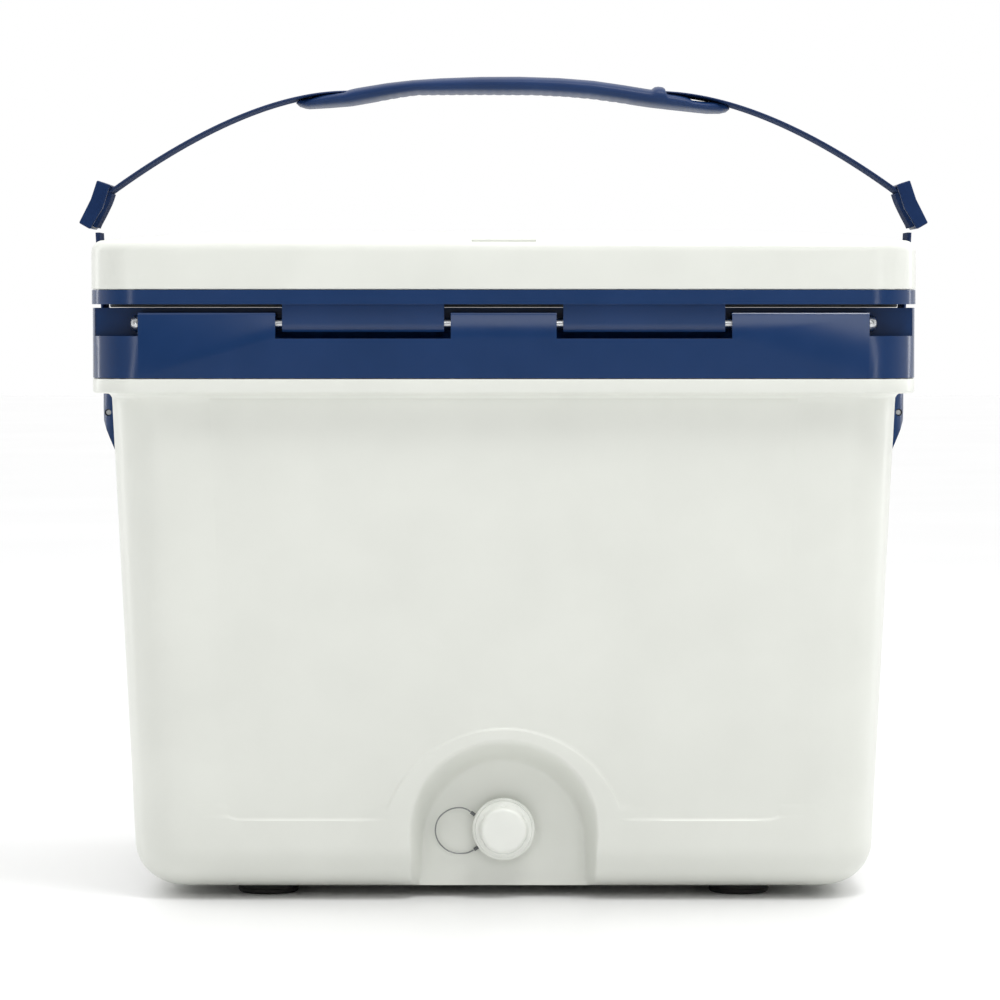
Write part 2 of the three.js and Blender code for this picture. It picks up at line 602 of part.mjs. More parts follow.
addMesh('plug_collar', atDrain([[NECK_RADIUS + SEAT, COLLAR_BACK], [FLANGE_RADIUS, COLLAR_BACK],
  [FLANGE_RADIUS, COLLAR_BACK + COLLAR_THICKNESS], [NECK_RADIUS + SEAT, COLLAR_BACK + COLLAR_THICKNESS],
  [NECK_RADIUS + SEAT, COLLAR_BACK]]), 'white');

// Tether wire, from the upper crimp on the collar round to the lower crimp on the fitting:
// x and z about the drain's centre, and how far it stands out from the fitting's face.
const TETHER = [
  [-20.2, 1.6, 10.2], [-22, 1.7, 11.5], [-24.7, 1.7, 12.5], [-27.4, 1.6, 12.7], [-30.6, 1.5, 12.3],
  [-33.9, 1.3, 11], [-37, 1.2, 8.9], [-39.5, 1, 6.1], [-41, 0.8, 2.9], [-41.6, 0.5, -0.8],
  [-41.2, 0.3, -4.6], [-39.7, 0, -8.2], [-37.3, -0.3, -11.3], [-34.1, -0.6, -13.8], [-30.3, -0.9, -15.2],
  [-26.5, -1.2, -15.6], [-22.9, -1.4, -15.5], [-20.2, -1.5, -14.6], [-18.3, -1.5, -13.5],
].map(([x, out, z]) => new THREE.Vector3(x, FLANGE_FRONT - out, DRAIN_Z + z));
const tetherPath = new THREE.CatmullRomCurve3(TETHER);
const wireCorners = arc(0, 0, WIRE_RADIUS, 0, 315, 7);
const wireSection = new THREE.Shape(wireCorners.map(([a, b]) => new THREE.Vector2(a, b)));
const wire = new THREE.ExtrudeGeometry(wireSection, { steps: 40, extrudePath: tetherPath });
addMesh('drain_tether', solidOf(wire), 'steel');

function crimp(tip, next) {
  const axis = new THREE.Vector3().subVectors(tip, next).normalize();
  const geometry = new THREE.CylinderGeometry(CRIMP_RADIUS, CRIMP_RADIUS, CRIMP_LENGTH, 12);
  geometry.applyQuaternion(new THREE.Quaternion().setFromUnitVectors(new THREE.Vector3(0, 1, 0), axis));
  const centre = tip.clone().addScaledVector(axis, CRIMP_LENGTH / 2 + SEAT);
  geometry.translate(centre.x, centre.y, centre.z);
  return solidOf(geometry);
}
addMesh('tether_crimp_upper', crimp(TETHER[0], TETHER[1]), 'crimp');
addMesh('tether_crimp_lower', crimp(TETHER.at(-1), TETHER.at(-2)), 'crimp');

// ---- side brackets for the strap ----
const STRAP_X = HALF_X + WEBBING / 2 + 0.55;   // webbing centre where it passes the lid's side
const ANCHOR_Z = LIP_BASE - ANCHOR_DROP;
const BRACKET_TOP = LIP_BASE - LIP_STEP - 1.5;
const SLOT_HALF = WEBBING / 2 + SLOT_WALL;
const SLOT_WIDTH = WEBBING_WIDTH + 2;
const BRACKET_OUTER = STRAP_X + SLOT_HALF + BRACKET_FACE;
const SCREW_SEAT_X = bodyX(BRACKET_SCREW_Z) + 3.2;
function bracketSolid() {
  const bottom = LIP_BASE - BRACKET_DROP - 2;
  const inner = (z) => bodyX(z) + SEAT;
  const profile = [[inner(bottom), bottom], [inner(bottom) + 2, bottom],
    [BRACKET_OUTER - 12, BRACKET_SCREW_Z], [BRACKET_OUTER - 8.8, LIP_BASE - 40],
    [BRACKET_OUTER - 4.5, LIP_BASE - 30.5], [BRACKET_OUTER - 2.5, LIP_BASE - 26],
    [BRACKET_OUTER - 0.6, LIP_BASE - 20], [BRACKET_OUTER, LIP_BASE - 12],
    [BRACKET_OUTER, BRACKET_TOP], [inner(BRACKET_TOP), BRACKET_TOP]];
  let solid = alongY(profile, -BRACKET_WIDTH / 2, BRACKET_WIDTH / 2);
  solid = solid.intersect(slab(BRACKET_OUTER, BRACKET_WIDTH / 2, BRACKET_CORNER, bottom, BRACKET_TOP));
  solid = solid.subtract(box(STRAP_X - SLOT_HALF, STRAP_X + SLOT_HALF, -SLOT_WIDTH / 2, SLOT_WIDTH / 2,
    ANCHOR_Z - 2 * ANCHOR_RADIUS, BRACKET_TOP + CUT));
  solid = solid.subtract(rodY(ANCHOR_RADIUS + SEAT, -BRACKET_WIDTH, BRACKET_WIDTH, STRAP_X, ANCHOR_Z, 16));
  for (const [, y] of bracketScrews) {
    solid = solid.subtract(rodX(SCREW_RADIUS + SEAT, bodyX(0) - CUT, BRACKET_OUTER, y, BRACKET_SCREW_Z, 12));
    solid = solid.subtract(rodX(SCREW_HEAD + 0.5, SCREW_SEAT_X, BRACKET_OUTER, y, BRACKET_SCREW_Z, 16));
  }
  return solid;
}

// ---- strap ----
const STRAP_BASE = LID_TOP - 2.7;              // heights of the strap's pieces are over this
const ADJUSTER_Z = STRAP_BASE + 4;
const ADJUSTER_SLOTS = [6.5, 19];              // lower edges of its two slots over its own bottom
const ADJUSTER_SLOT = 5.5;
function adjusterSolid() {
  const lowOut = [HALF_X + 20.4, ADJUSTER_Z + 4];
  const highOut = [HALF_X + 8.8, ADJUSTER_Z + 31];
  const highIn = [HALF_X + 0.4, ADJUSTER_Z + 28];
  const lowIn = [HALF_X + 13.4, ADJUSTER_Z];
  const bulge = [HALF_X + 12.8, ADJUSTER_Z + 19];
  const hollow = [HALF_X + 5.4, ADJUSTER_Z + 13];
  const corners = [lowIn, lowOut, bulge, highOut, highIn, hollow];
  let solid = alongY(corners, -ADJUSTER_WIDTH / 2, ADJUSTER_WIDTH / 2);
  const half = WEBBING_WIDTH / 2 + 0.6;
  for (const rise of ADJUSTER_SLOTS) {
    const z = ADJUSTER_Z + rise;
    solid = solid.subtract(box(HALF_X - 5, HALF_X + 30, -half, half, z, z + ADJUSTER_SLOT));
  }
  return solid;
}

const LOWER_END = [HALF_X + 9.9, ADJUSTER_Z - 1.8];
function lowerWebbing() {
  const start = new THREE.Vector2(STRAP_X, ANCHOR_Z + ANCHOR_RADIUS + SEAT);
  const bend = new THREE.Vector2(STRAP_X + 0.4, BRACKET_TOP + 8);
  const route = new THREE.QuadraticBezierCurve(start, bend, new THREE.Vector2(...LOWER_END));
  return alongY(band(route, WEBBING, 8), -WEBBING_WIDTH / 2, WEBBING_WIDTH / 2);
}

for (const [name, side] of SIDES) {
  addMesh(`side_bracket_${name}`, mirrored(bracketSolid(), side), 'navy');
  const pinHalf = BRACKET_WIDTH / 2 - 1;
  const anchorPin = rodY(ANCHOR_RADIUS, -pinHalf, pinHalf, STRAP_X, ANCHOR_Z, 16);
  addMesh(`anchor_pin_${name}`, mirrored(anchorPin, side), 'steel');
  for (const [end, y] of bracketScrews) {
    const seatX = SCREW_SEAT_X + SEAT;
    const tip = bodyX(BRACKET_SCREW_Z) - BRACKET_SCREW_TIP;
    const screw = turnedX([[0, tip], [SCREW_RADIUS, tip + 2], [SCREW_RADIUS, seatX], [SCREW_HEAD, seatX],
      [SCREW_HEAD, seatX + 1.6], [SCREW_HEAD - 1, seatX + 2.4], [0, seatX + 2.4]], 12);
    const placed = screw.translate([0, y, BRACKET_SCREW_Z]);
    addMesh(`bracket_screw_${name}_${end}`, mirrored(placed, side), 'steel');
  }
  addMesh(`lower_webbing_${name}`, mirrored(lowerWebbing(), side), 'webbing');
  addMesh(`adjuster_${name}`, mirrored(adjusterSolid(), side), 'navy');
}

// The pad is a shallow arch with a thin lip at each end; heights are over STRAP_BASE.
const PAD_TOP = [[93, 93], [57, 98.5], [16, 101], [-40, 100], [-74, 97], [-100.5, 92.6]];
const PAD_LEFT = [[-100.5, 87.4], [-125, 86.4], [-132, 84.8], [-125, 81], [-97, 83]];
const PAD_BOTTOM = [[-66, 88.5], [-55, 90], [20, 90], [57, 87.5], [95, 82]];
const PAD_RIGHT = [[132, 78], [144, 81.5], [135, 82.6], [104, 86], [104, 91.2]];
const padPoints = [...PAD_TOP, ...PAD_LEFT, ...PAD_BOTTOM, ...PAD_RIGHT].map(([x, z]) => [x, STRAP_BASE + z]);
addMesh('shoulder_pad', alongY(padPoints, -PAD_WIDTH / 2, PAD_WIDTH / 2), 'navy');

const WEBBING_ENDS = { left: [-101.5, 91, 1], right: [105.2, 90.6, -1.6] };
for (const [name, side] of SIDES) {
  const [endX, endZ, rise] = WEBBING_ENDS[name];
  const from = new THREE.Vector2(side * (HALF_X - 1.4), ADJUSTER_Z + 27);
  const to = new THREE.Vector2(endX, STRAP_BASE + endZ);
  const first = new THREE.Vector2(from.x - side * 45, from.y + 31);
  const second = new THREE.Vector2(to.x + side * 47, to.y + rise);
  const route = new THREE.CubicBezierCurve(from, first, second, to);
  const points = band(route, WEBBING, 14);
  addMesh(`upper_webbing_${name}`, alongY(points, -WEBBING_WIDTH / 2, WEBBING_WIDTH / 2), 'webbing');
}

// ---- lid pieces ----
addMesh('lid_shell', makeLidShell(), 'white');
addMesh('lid_frame', makeLidFrame(), 'navy');
addMesh('lid_liner', makeLidLiner(), 'white');
addMesh('lid_foam', makeLidFoam(), 'foam');
addMesh('lid_gasket', gasketRing(0, RIM_TOP + SEAT, LID_BASE + GASKET_DEPTH), 'seal');

// ---- latches: rubber arms that hang from a pin in the lid and hook under the rim's keeper ----
function latchSolid() {
  const half = LATCH_WIDTH / 2;
  const profile = [[-4, 0], [-4, -KEEPER_BOTTOM - 1], [-9, -KEEPER_BOTTOM - 1], [-8, -KEEPER_BOTTOM - 6],
    [-4, -LATCH_LENGTH + 1], [-2, -LATCH_LENGTH], [4, -LATCH_LENGTH], [5, -LATCH_LENGTH + 4], [3.5, -40],
    [5, -20], [5, 0], ...arc(0, 0, 5, 30, 150, 6)];
  const bore = rodX(LATCH_PIN_RADIUS + SEAT, -half - CUT, half + CUT, 0, 0, 16);
  const arm = alongX(profile, -half, half).subtract(bore);
  return arm.rotate([LATCH_OPEN, 0, 0]);
}
for (const [name, side] of SIDES) {
  const pinHalf = LATCH_POCKET / 2 + WALL - SEAT;
  addMesh(`latch_pin_${name}`, latchPinBore(side, LATCH_PIN_RADIUS, pinHalf), 'steel');
  const arm = latchSolid().translate([side * LATCH_SPACING / 2, LATCH_Y, LATCH_Z]);
  addMesh(`latch_${name}`, arm, 'latchRubber');
}

export default group;
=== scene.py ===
# %% [markdown]
# # A hard cooler with a shoulder strap
# The cooler is a moulded white tub and lid with a navy rim, hinged on a steel rod, with rubber feet, a
# screw drain plug on a wire, and a webbing strap with a soft pad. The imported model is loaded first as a
# fixed frame: every place and size below is read from it, so each new surface lands where the working
# part is.

# %% Load the frame
import math

import bmesh
import bpy
import numpy as np
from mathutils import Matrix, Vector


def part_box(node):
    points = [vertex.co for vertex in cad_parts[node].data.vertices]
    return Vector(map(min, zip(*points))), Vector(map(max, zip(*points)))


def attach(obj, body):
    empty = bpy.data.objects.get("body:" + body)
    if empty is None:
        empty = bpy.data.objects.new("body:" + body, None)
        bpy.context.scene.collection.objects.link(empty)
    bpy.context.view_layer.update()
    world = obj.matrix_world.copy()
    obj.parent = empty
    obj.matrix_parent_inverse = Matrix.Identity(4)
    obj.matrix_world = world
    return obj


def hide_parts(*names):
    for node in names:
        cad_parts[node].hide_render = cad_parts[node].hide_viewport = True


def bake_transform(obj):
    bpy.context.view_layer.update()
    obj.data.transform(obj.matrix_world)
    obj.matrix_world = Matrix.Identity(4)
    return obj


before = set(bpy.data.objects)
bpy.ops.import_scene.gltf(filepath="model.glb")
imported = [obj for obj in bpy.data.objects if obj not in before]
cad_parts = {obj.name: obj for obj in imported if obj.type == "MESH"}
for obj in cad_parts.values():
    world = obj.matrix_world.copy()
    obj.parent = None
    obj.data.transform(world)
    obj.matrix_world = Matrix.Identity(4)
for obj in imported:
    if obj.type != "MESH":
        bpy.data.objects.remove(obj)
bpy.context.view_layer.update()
MM = 0.001

# %% [markdown]
# ## Small helpers
# A mesh is points and the faces between them. It could be built face by face in Python, but a surface
# here is a grid of points worked out as whole arrays, which is faster and keeps its formula in view. A
# grid may close on itself along its rows or columns, and its two open ends may be closed with a face
# each.

# %% Grids and pieces
scene = bpy.context.scene


def box(node):
    """Lowest and highest corner of a CAD node, as two arrays."""
    low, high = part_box(node)
    return np.array(low, dtype=float), np.array(high, dtype=float)


def piece_of(name, vertices, faces, smooth=30):
    """A mesh object with smooth shading that breaks where faces turn more than so many degrees."""
    mesh = bpy.data.meshes.new(name)
    mesh.from_pydata(np.asarray(vertices).tolist(), [], [list(face) for face in faces])
    work = bmesh.new()
    work.from_mesh(mesh)
    bmesh.ops.remove_doubles(work, verts=work.verts, dist=1e-7)
    bmesh.ops.recalc_face_normals(work, faces=work.faces)
    work.to_mesh(mesh)
    work.free()
    mesh.polygons.foreach_set("use_smooth", [True] * len(mesh.polygons))
    mesh.set_sharp_from_angle(angle=math.radians(smooth))
    piece = bpy.data.objects.new(name, mesh)
    scene.collection.objects.link(piece)
    return piece


def grid_faces(rows, columns, wrap_columns=True, wrap_rows=False):
    """The quads of a grid whose point (row, column) is number row * columns + column."""
    row = np.arange(rows if wrap_rows else rows - 1)
    column = np.arange(columns if wrap_columns else columns - 1)
    r, c = np.meshgrid(row, column, indexing="ij")
    r1, c1 = (r + 1) % rows, (c + 1) % columns
    quads = np.stack([r * columns + c, r * columns + c1, r1 * columns + c1, r1 * columns + c], axis=-1)
    return quads.reshape(-1, 4).tolist()


def grid_piece(name, points, ends=(True, True), wrap_rows=False, smooth=30):
    """A piece from a (rows, columns, 3) array closed round its columns; ends says which rows are capped."""
    rows, columns, _ = points.shape
    faces = grid_faces(rows, columns, True, wrap_rows)
    if ends[0]:
        faces.append(list(range(columns)))
    if ends[1]:
        faces.append([(rows - 1) * columns + c for c in range(columns)][::-1])
    return piece_of(name, points.reshape(-1, 3), faces, smooth)


print("helpers for grids are ready")

# %% [markdown]
# Nothing real has a perfectly sharp edge, and a rounded one catches a thin line of light. A Bevel
# modifier adds it. A Boolean modifier cuts one solid with another; its result is kept, and the cutter is
# thrown away.


# %% Rounding and cutting
def bevelled(piece, width, segments=3, angle=35):
    """Rounds the piece's sharp edges by so many metres."""
    bevel = piece.modifiers.new("edges", "BEVEL")
    bevel.width = width
    bevel.segments = segments
    bevel.limit_method = "ANGLE"
    bevel.angle_limit = math.radians(angle)
    bevel.harden_normals = True
    return piece


def cut(piece, cutter, operation="DIFFERENCE"):
    """Cuts, joins or crosses the piece with another for good, and throws the other away."""
    modifier = piece.modifiers.new("cut", "BOOLEAN")
    modifier.object = cutter
    modifier.operation = operation
    modifier.solver = "EXACT"
    graph = bpy.context.evaluated_depsgraph_get()
    mesh = bpy.data.meshes.new_from_object(piece.evaluated_get(graph))
    piece.modifiers.clear()
    piece.data = mesh
    bpy.data.objects.remove(cutter)
    mesh.polygons.foreach_set("use_smooth", [True] * len(mesh.polygons))
    mesh.set_sharp_from_angle(angle=math.radians(30))
    return piece


def block(low, high):
    """A plain box to cut with."""
    x, y, z = [[low[i], high[i]] for i in range(3)]
    corners = [(x[i], y[j], z[k]) for i in (0, 1) for j in (0, 1) for k in (0, 1)]
    sides = [(0, 1, 3, 2), (4, 6, 7, 5), (0, 4, 5, 1), (2, 3, 7, 6), (0, 2, 6, 4), (1, 5, 7, 3)]
    return piece_of("cutter", corners, sides)


print("helpers for edges and cuts are ready")

# %% [markdown]
# Some mouldings must keep the exact places of their steps and pockets, so they start from a copy of the
# working solid. That solid is loose triangles, so the copy is merged and its flat areas are joined before
# it is rounded. Each finished piece is then tied to the body that carries it, and the solids that it
# stands for are hidden.


# %% Copies and handing over
def copy_of(node, name, width, segments=3, angle=35):
    """A merged copy of a CAD solid with flat faces joined up and its sharp edges rounded."""
    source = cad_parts[node]
    mesh = source.data
    vertices = np.empty(len(mesh.vertices) * 3)
    mesh.vertices.foreach_get("co", vertices)
    faces = [list(polygon.vertices) for polygon in mesh.polygons]
    piece = piece_of(name, vertices.reshape(-1, 3), faces)
    piece.data.transform(source.matrix_world)
    work = bmesh.new()
    work.from_mesh(piece.data)
    bmesh.ops.remove_doubles(work, verts=work.verts, dist=2e-6)
    bmesh.ops.dissolve_limit(work, angle_limit=math.radians(1), verts=work.verts, edges=work.edges)
    work.to_mesh(piece.data)
    work.free()
    piece.data.polygons.foreach_set("use_smooth", [True] * len(piece.data.polygons))
    piece.data.set_sharp_from_angle(angle=math.radians(30))
    return bevelled(piece, width, segments, angle) if width else piece


def finish(piece, body, material, slot, *nodes):
    """Puts a piece on its body, gives it its finish, and hides the CAD nodes that it stands for."""
    piece.data.materials.clear()
    piece.data.materials.append(material)
    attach(piece, body)
    if nodes:
        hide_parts(*nodes)
    print(f"{piece.name}: {len(piece.data.polygons)} faces, rides on {body}")
    return piece


print("helpers for copies are ready")

# %% [markdown]
# ## Camera
# The camera stands behind the cooler, a little below the top of its lid and tilted down a few degrees. A
# long lens far away keeps the upright edges nearly upright, where a short one close by would spread them.

# %% Camera
back_y = float(box("lid_shell")[0][1])
EYE_DISTANCE = 2.5
EYE_HEIGHT = 0.361
LENS = 150.7
TILT = math.radians(2.666)
camera = bpy.data.objects.new("camera", bpy.data.cameras.new("camera"))
camera.data.lens = LENS
camera.data.sensor_width = 36
camera.data.clip_end = 60
CAMERA_SIDE = -2.2 * MM
camera.location = (CAMERA_SIDE, back_y - EYE_DISTANCE, EYE_HEIGHT)
camera.rotation_euler = (math.pi / 2 - TILT, 0, 0)
scene.collection.objects.link(camera)
scene.camera = camera
scene.view_settings.view_transform = "Standard"
scene.view_settings.look = "None"
print("camera at", [round(c, 3) for c in camera.location], "lens", LENS)

# %% [markdown]
# ## Lamps
# Small lamps make hard shadows and large ones soft shadows. A soft lamp high on the right shades the lip
# and the scoop, a broad one in front fills them in, and four tall strips beside the cooler leave long
# bright bands down its rounded corners: the front pair on the inner part of each corner, and the pair
# behind on its outer edge.


# %% Lamps
def area_light(name, place, aim, size, power):
    """A rectangular soft light: yaw and pitch are the angles of the line from its place to its aim."""
    data = bpy.data.lights.new(name, "AREA")
    data.shape = "RECTANGLE"
    data.size, data.size_y = size
    data.energy = power
    lamp = bpy.data.objects.new(name, data)
    lamp.location = place
    direction = np.array(aim, dtype=float) - np.array(place, dtype=float)
    yaw = math.atan2(direction[0], -direction[1])
    pitch = math.atan2(math.hypot(direction[0], direction[1]), -direction[2])
    lamp.rotation_euler = (pitch, 0, yaw + math.pi)
    scene.collection.objects.link(lamp)


area_light("overhead", (0.55, -0.85, 2.2), (0, -0.15, 0.2), (0.7, 0.5), 19)
area_light("front_fill", (0.4, -2.9, 1.5), (0, 0, 0.15), (1.4, 0.8), 10)
for side, sign in (("left", -1), ("right", 1)):
    area_light(f"{side}_corner_strip", (sign * 1.5, -2.75, 0.7), (0, 0, 0.3), (0.16, 1.8), 6)
    area_light(f"{side}_edge_strip", (sign * 2.4, 1.1, 0.7), (0, 0, 0.3), (0.35, 1.8), 9)

# %% [markdown]
# ## Helpers for finishes
# A finish is a small tree of nodes that feeds one shader. One function adds a node with its settings and
# links, and one turns a paint chart's hex colour into the linear numbers that the shader works in.


# %% Shader helpers
def linear(code):
    """An sRGB hex colour as linear red, green, blue and a full alpha."""
    channels = [int(code[i:i + 2], 16) / 255 for i in (0, 2, 4)]
    return [c / 12.92 if c <= 0.04045 else ((c + 0.055) / 1.055) ** 2.4 for c in channels] + [1]


def add(tree, kind, inputs=None, **settings):
    """Adds a node; inputs gives a value, or another node's output, for each named or numbered socket."""
    made = tree.nodes.new(kind)
    for key, value in settings.items():
        setattr(made, key, value)
    for socket, value in (inputs or {}).items():
        if isinstance(value, bpy.types.NodeSocket):
            tree.links.new(value, made.inputs[socket])
        else:
            made.inputs[socket].default_value = value
    return made


print("helpers for nodes are ready")

# %% [markdown]
# ## Room
# The room is a plain white studio that lights the scene from every side. It could be one flat colour, but
# glossy plastic mirrors what is in front of it, so the room is dim behind the camera, which keeps the
# navy rim deep. It is bright overhead and beyond the cooler, which whitens the floor.

# %% Room
ROOM_BRIGHT = 1.0
ROOM_DIM = 0.1
CEILING = 0.7
FADE_Y = (-0.75, 0.15)
FADE_Z = (0.35, 0.85)
world = bpy.data.worlds.new("studio")
world.use_nodes = True
room = world.node_tree
axes = add(room, "ShaderNodeSeparateXYZ", {"Vector": add(room, "ShaderNodeTexCoord").outputs["Generated"]})
fades = []
for axis, (start, end), low, high in (("Y", FADE_Y, ROOM_DIM, ROOM_BRIGHT), ("Z", FADE_Z, 0.0, CEILING)):
    spread = {"Value": axes.outputs[axis], "From Min": start, "From Max": end, "To Min": low, "To Max": high}
    fades.append(add(room, "ShaderNodeMapRange", spread, interpolation_type="SMOOTHSTEP").outputs["Result"])
strength = add(room, "ShaderNodeMath", {0: fades[0], 1: fades[1]}).outputs[0]
room.links.new(strength, room.nodes["Background"].inputs["Strength"])
room.nodes["Background"].inputs["Color"].default_value = linear("FFFFFF")
scene.world = world
print("room strength from", ROOM_DIM, "to", ROOM_BRIGHT + CEILING)

# %% [markdown]
# ## Parts of a finish
# Real plastic is never one flat colour and gloss. Three slow or fine noises do most of the work: one
# wanders between two near colours, one wanders between two values of roughness, and one raises the
# surface's grain. They read Object coordinates, so that the pattern stays on the piece as it moves.


# %% Parts of a finish
def new_material(name, **values):
    """A material with its Principled shader's own sockets set, and its tree and shader to build on."""
    material = bpy.data.materials.new(name)
    material.use_nodes = True
    tree = material.node_tree
    shader = tree.nodes["Principled BSDF"]
    for socket, value in values.items():
        shader.inputs[socket.replace("_", " ")].default_value = value
    return material, tree, shader


def grain(tree, shader, size, height, coordinates, detail=3.0):
    """Fine bumps: noise whose grains are so many metres across and so many metres high."""
    noise = add(tree, "ShaderNodeTexNoise", {"Vector": coordinates, "Scale": 1 / size, "Detail": detail})
    bump = add(tree, "ShaderNodeBump", {"Height": noise.outputs["Fac"], "Distance": height, "Strength": 1.0})
    tree.links.new(bump.outputs["Normal"], shader.inputs["Normal"])


def mottled(tree, shader, colour_low, colour_high, size, coordinates):
    """Slow change between two near colours over patches of so many metres."""
    noise = add(tree, "ShaderNodeTexNoise", {"Vector": coordinates, "Scale": 1 / size, "Detail": 2.0})
    ramp = add(tree, "ShaderNodeValToRGB", {"Fac": noise.outputs["Fac"]})
    ramp.color_ramp.elements[0].color = linear(colour_low)
    ramp.color_ramp.elements[0].position = 0.3
    ramp.color_ramp.elements[1].color = linear(colour_high)
    ramp.color_ramp.elements[1].position = 0.7
    tree.links.new(ramp.outputs["Color"], shader.inputs["Base Color"])


def gloss(tree, shader, low, high, size, coordinates):
    """Roughness that wanders between two values over patches of so many metres."""
    noise = add(tree, "ShaderNodeTexNoise", {"Vector": coordinates, "Scale": 1 / size, "Detail": 4.0})
    spread = add(tree, "ShaderNodeMapRange", {"Value": noise.outputs["Fac"], "To Min": low, "To Max": high})
    tree.links.new(spread.outputs["Result"], shader.inputs["Roughness"])


def object_coordinates(tree):
    """The place of each point of the surface, in metres from the cooler's origin."""
    return add(tree, "ShaderNodeTexCoord").outputs["Object"]


print("parts of a finish are ready")

# %% [markdown]
# ## Moulded plastics and rubbers
# All of these come out of a mould, so they differ in colour, gloss and how coarse the mould's skin is.
# One function makes them, and each finish below says what the real material gives the eye.


# %% Moulded plastics and rubbers
def moulded(name, low, high, roughness, grain_size, grain_height, patch=0.05, **values):
    """A moulded surface: two near colours, wandering gloss and the mould's own fine grain."""
    material, tree, shader = new_material(name, **values)
    where = object_coordinates(tree)
    mottled(tree, shader, low, high, patch, where)
    gloss(tree, shader, roughness[0], roughness[1], patch / 2, where)
    grain(tree, shader, grain_size, grain_height, where)
    return material


# Rotomoulded polyethylene is slightly wavy like orange peel, with a satin gloss that shows broad soft bands.
SHELL = moulded("rotomoulded_polyethylene_white", "DCDED7", "E0E2DB", (0.27, 0.36), 2.4 * MM, 0.02 * MM)
# The liner is moulded against polished steel, so that it wipes clean.
LINER = moulded("injection_polypropylene_white", "E2E3DE", "E8E9E4", (0.35, 0.45), 1.2 * MM, 0.012 * MM)
# The navy rim is injection moulded in a spark-eroded tool, so it is finer and more matt than the tub.
NAVY = moulded("injection_polypropylene_navy", "12305A", "15335F", (0.17, 0.23), 0.7 * MM, 0.006 * MM, 0.04,
                Specular_IOR_Level=0.4)
# Acetal is dense and slippery, with a dark, even and rather dull surface.
BUCKLE = moulded("acetal_navy", "102850", "142D57", (0.3, 0.4), 0.6 * MM, 0.006 * MM, 0.02,
                 Specular_IOR_Level=0.15)
# ABS is the glossiest white here, because its small parts come from a polished tool.
DRAIN = moulded("injection_abs_white", "E6E8E2", "ECEEE8", (0.22, 0.3), 0.8 * MM, 0.008 * MM, 0.03)
# Rubber is matt, because its skin scatters light; the navy rubbers and the soft pad differ mostly in gloss.
RUBBER = moulded("moulded_rubber_black", "141414", "1C1C1B", (0.6, 0.75), 0.5 * MM, 0.03 * MM, 0.02)
LATCH = moulded("moulded_epdm_rubber_navy", "152B50", "193159", (0.5, 0.62), 0.5 * MM, 0.02 * MM, 0.03,
                Specular_IOR_Level=0.25)
PAD = moulded("soft_touch_tpe_navy", "132D57", "16325F", (0.36, 0.46), 0.5 * MM, 0.008 * MM, 0.03,
              Specular_IOR_Level=0.25)
GASKET = moulded("extruded_seal_grey", "5F6264", "6B6E70", (0.6, 0.7), 0.5 * MM, 0.02 * MM, 0.03)
# Polyurethane foam is pale yellow, and its cut cells make it rough.
FOAM = moulded("polyurethane_foam", "E3D6A8", "EDE2BE", (0.85, 0.95), 1.5 * MM, 0.3 * MM, 0.03)
print("moulded finishes made")


# %% [markdown]
# ## Steel, wire and webbing
# Drawn steel has fine scratches along its length, so its gloss noise is stretched. Webbing is woven: its
# bumps follow the strap, so they read the piece's own UV map, which is in metres along and across the
# webbing.


# %% Metals and webbing
def drawn_metal(name, colour, roughness, stretch):
    """A metal whose fine scratches run one way; stretch squeezes the noise along each axis."""
    material, tree, shader = new_material(name, Metallic=1.0)
    shader.inputs["Base Color"].default_value = linear(colour)
    where = object_coordinates(tree)
    mapped = add(tree, "ShaderNodeMapping", {"Vector": where, "Scale": stretch})
    noise = add(tree, "ShaderNodeTexNoise", {"Vector": mapped.outputs["Vector"], "Scale": 1.0, "Detail": 5.0})
    spread = add(tree, "ShaderNodeMapRange",
                 {"Value": noise.outputs["Fac"], "To Min": roughness[0], "To Max": roughness[1]})
    tree.links.new(spread.outputs["Result"], shader.inputs["Roughness"])
    bump = add(tree, "ShaderNodeBump", {"Height": noise.outputs["Fac"], "Distance": 0.01 * MM})
    tree.links.new(bump.outputs["Normal"], shader.inputs["Normal"])
    return material


STEEL = drawn_metal("drawn_stainless_steel", "C9CBCC", (0.18, 0.38), (120, 2500, 2500))
WIRE = drawn_metal("stranded_steel_wire", "8C8E8E", (0.3, 0.45), (3000, 3000, 3000))
CRIMP = drawn_metal("crimped_aluminium_grey", "6E7172", (0.45, 0.6), (1500, 1500, 1500))


def woven(name, low, high, thread):
    """Webbing: ribs across the strap every thread spacing, split along the strap into a basket of yarns."""
    material, tree, shader = new_material(name, Roughness=0.75, Specular_IOR_Level=0.08)
    along_across = add(tree, "ShaderNodeUVMap", uv_map="UVMap").outputs["UV"]
    parts = add(tree, "ShaderNodeSeparateXYZ", {"Vector": along_across})
    waves = []
    for axis, spacing in (("X", thread), ("Y", thread * 0.8)):
        turns = add(tree, "ShaderNodeMath", {0: parts.outputs[axis], 1: 2 * math.pi / spacing},
                    operation="MULTIPLY")
        waves.append(add(tree, "ShaderNodeMath", {0: turns.outputs[0]}, operation="SINE").outputs[0])
    weave = add(tree, "ShaderNodeMath", {0: waves[0], 1: waves[1]}, operation="MULTIPLY").outputs[0]
    spread = add(tree, "ShaderNodeMapRange", {"Value": weave, "From Min": -1.0, "From Max": 1.0})
    ramp = add(tree, "ShaderNodeValToRGB", {"Fac": spread.outputs["Result"]})
    ramp.color_ramp.elements[0].color = linear(low)
    ramp.color_ramp.elements[1].color = linear(high)
    tree.links.new(ramp.outputs["Color"], shader.inputs["Base Color"])
    bump = add(tree, "ShaderNodeBump", {"Height": weave, "Distance": 0.015 * MM, "Strength": 0.5})
    tree.links.new(bump.outputs["Normal"], shader.inputs["Normal"])
    return material


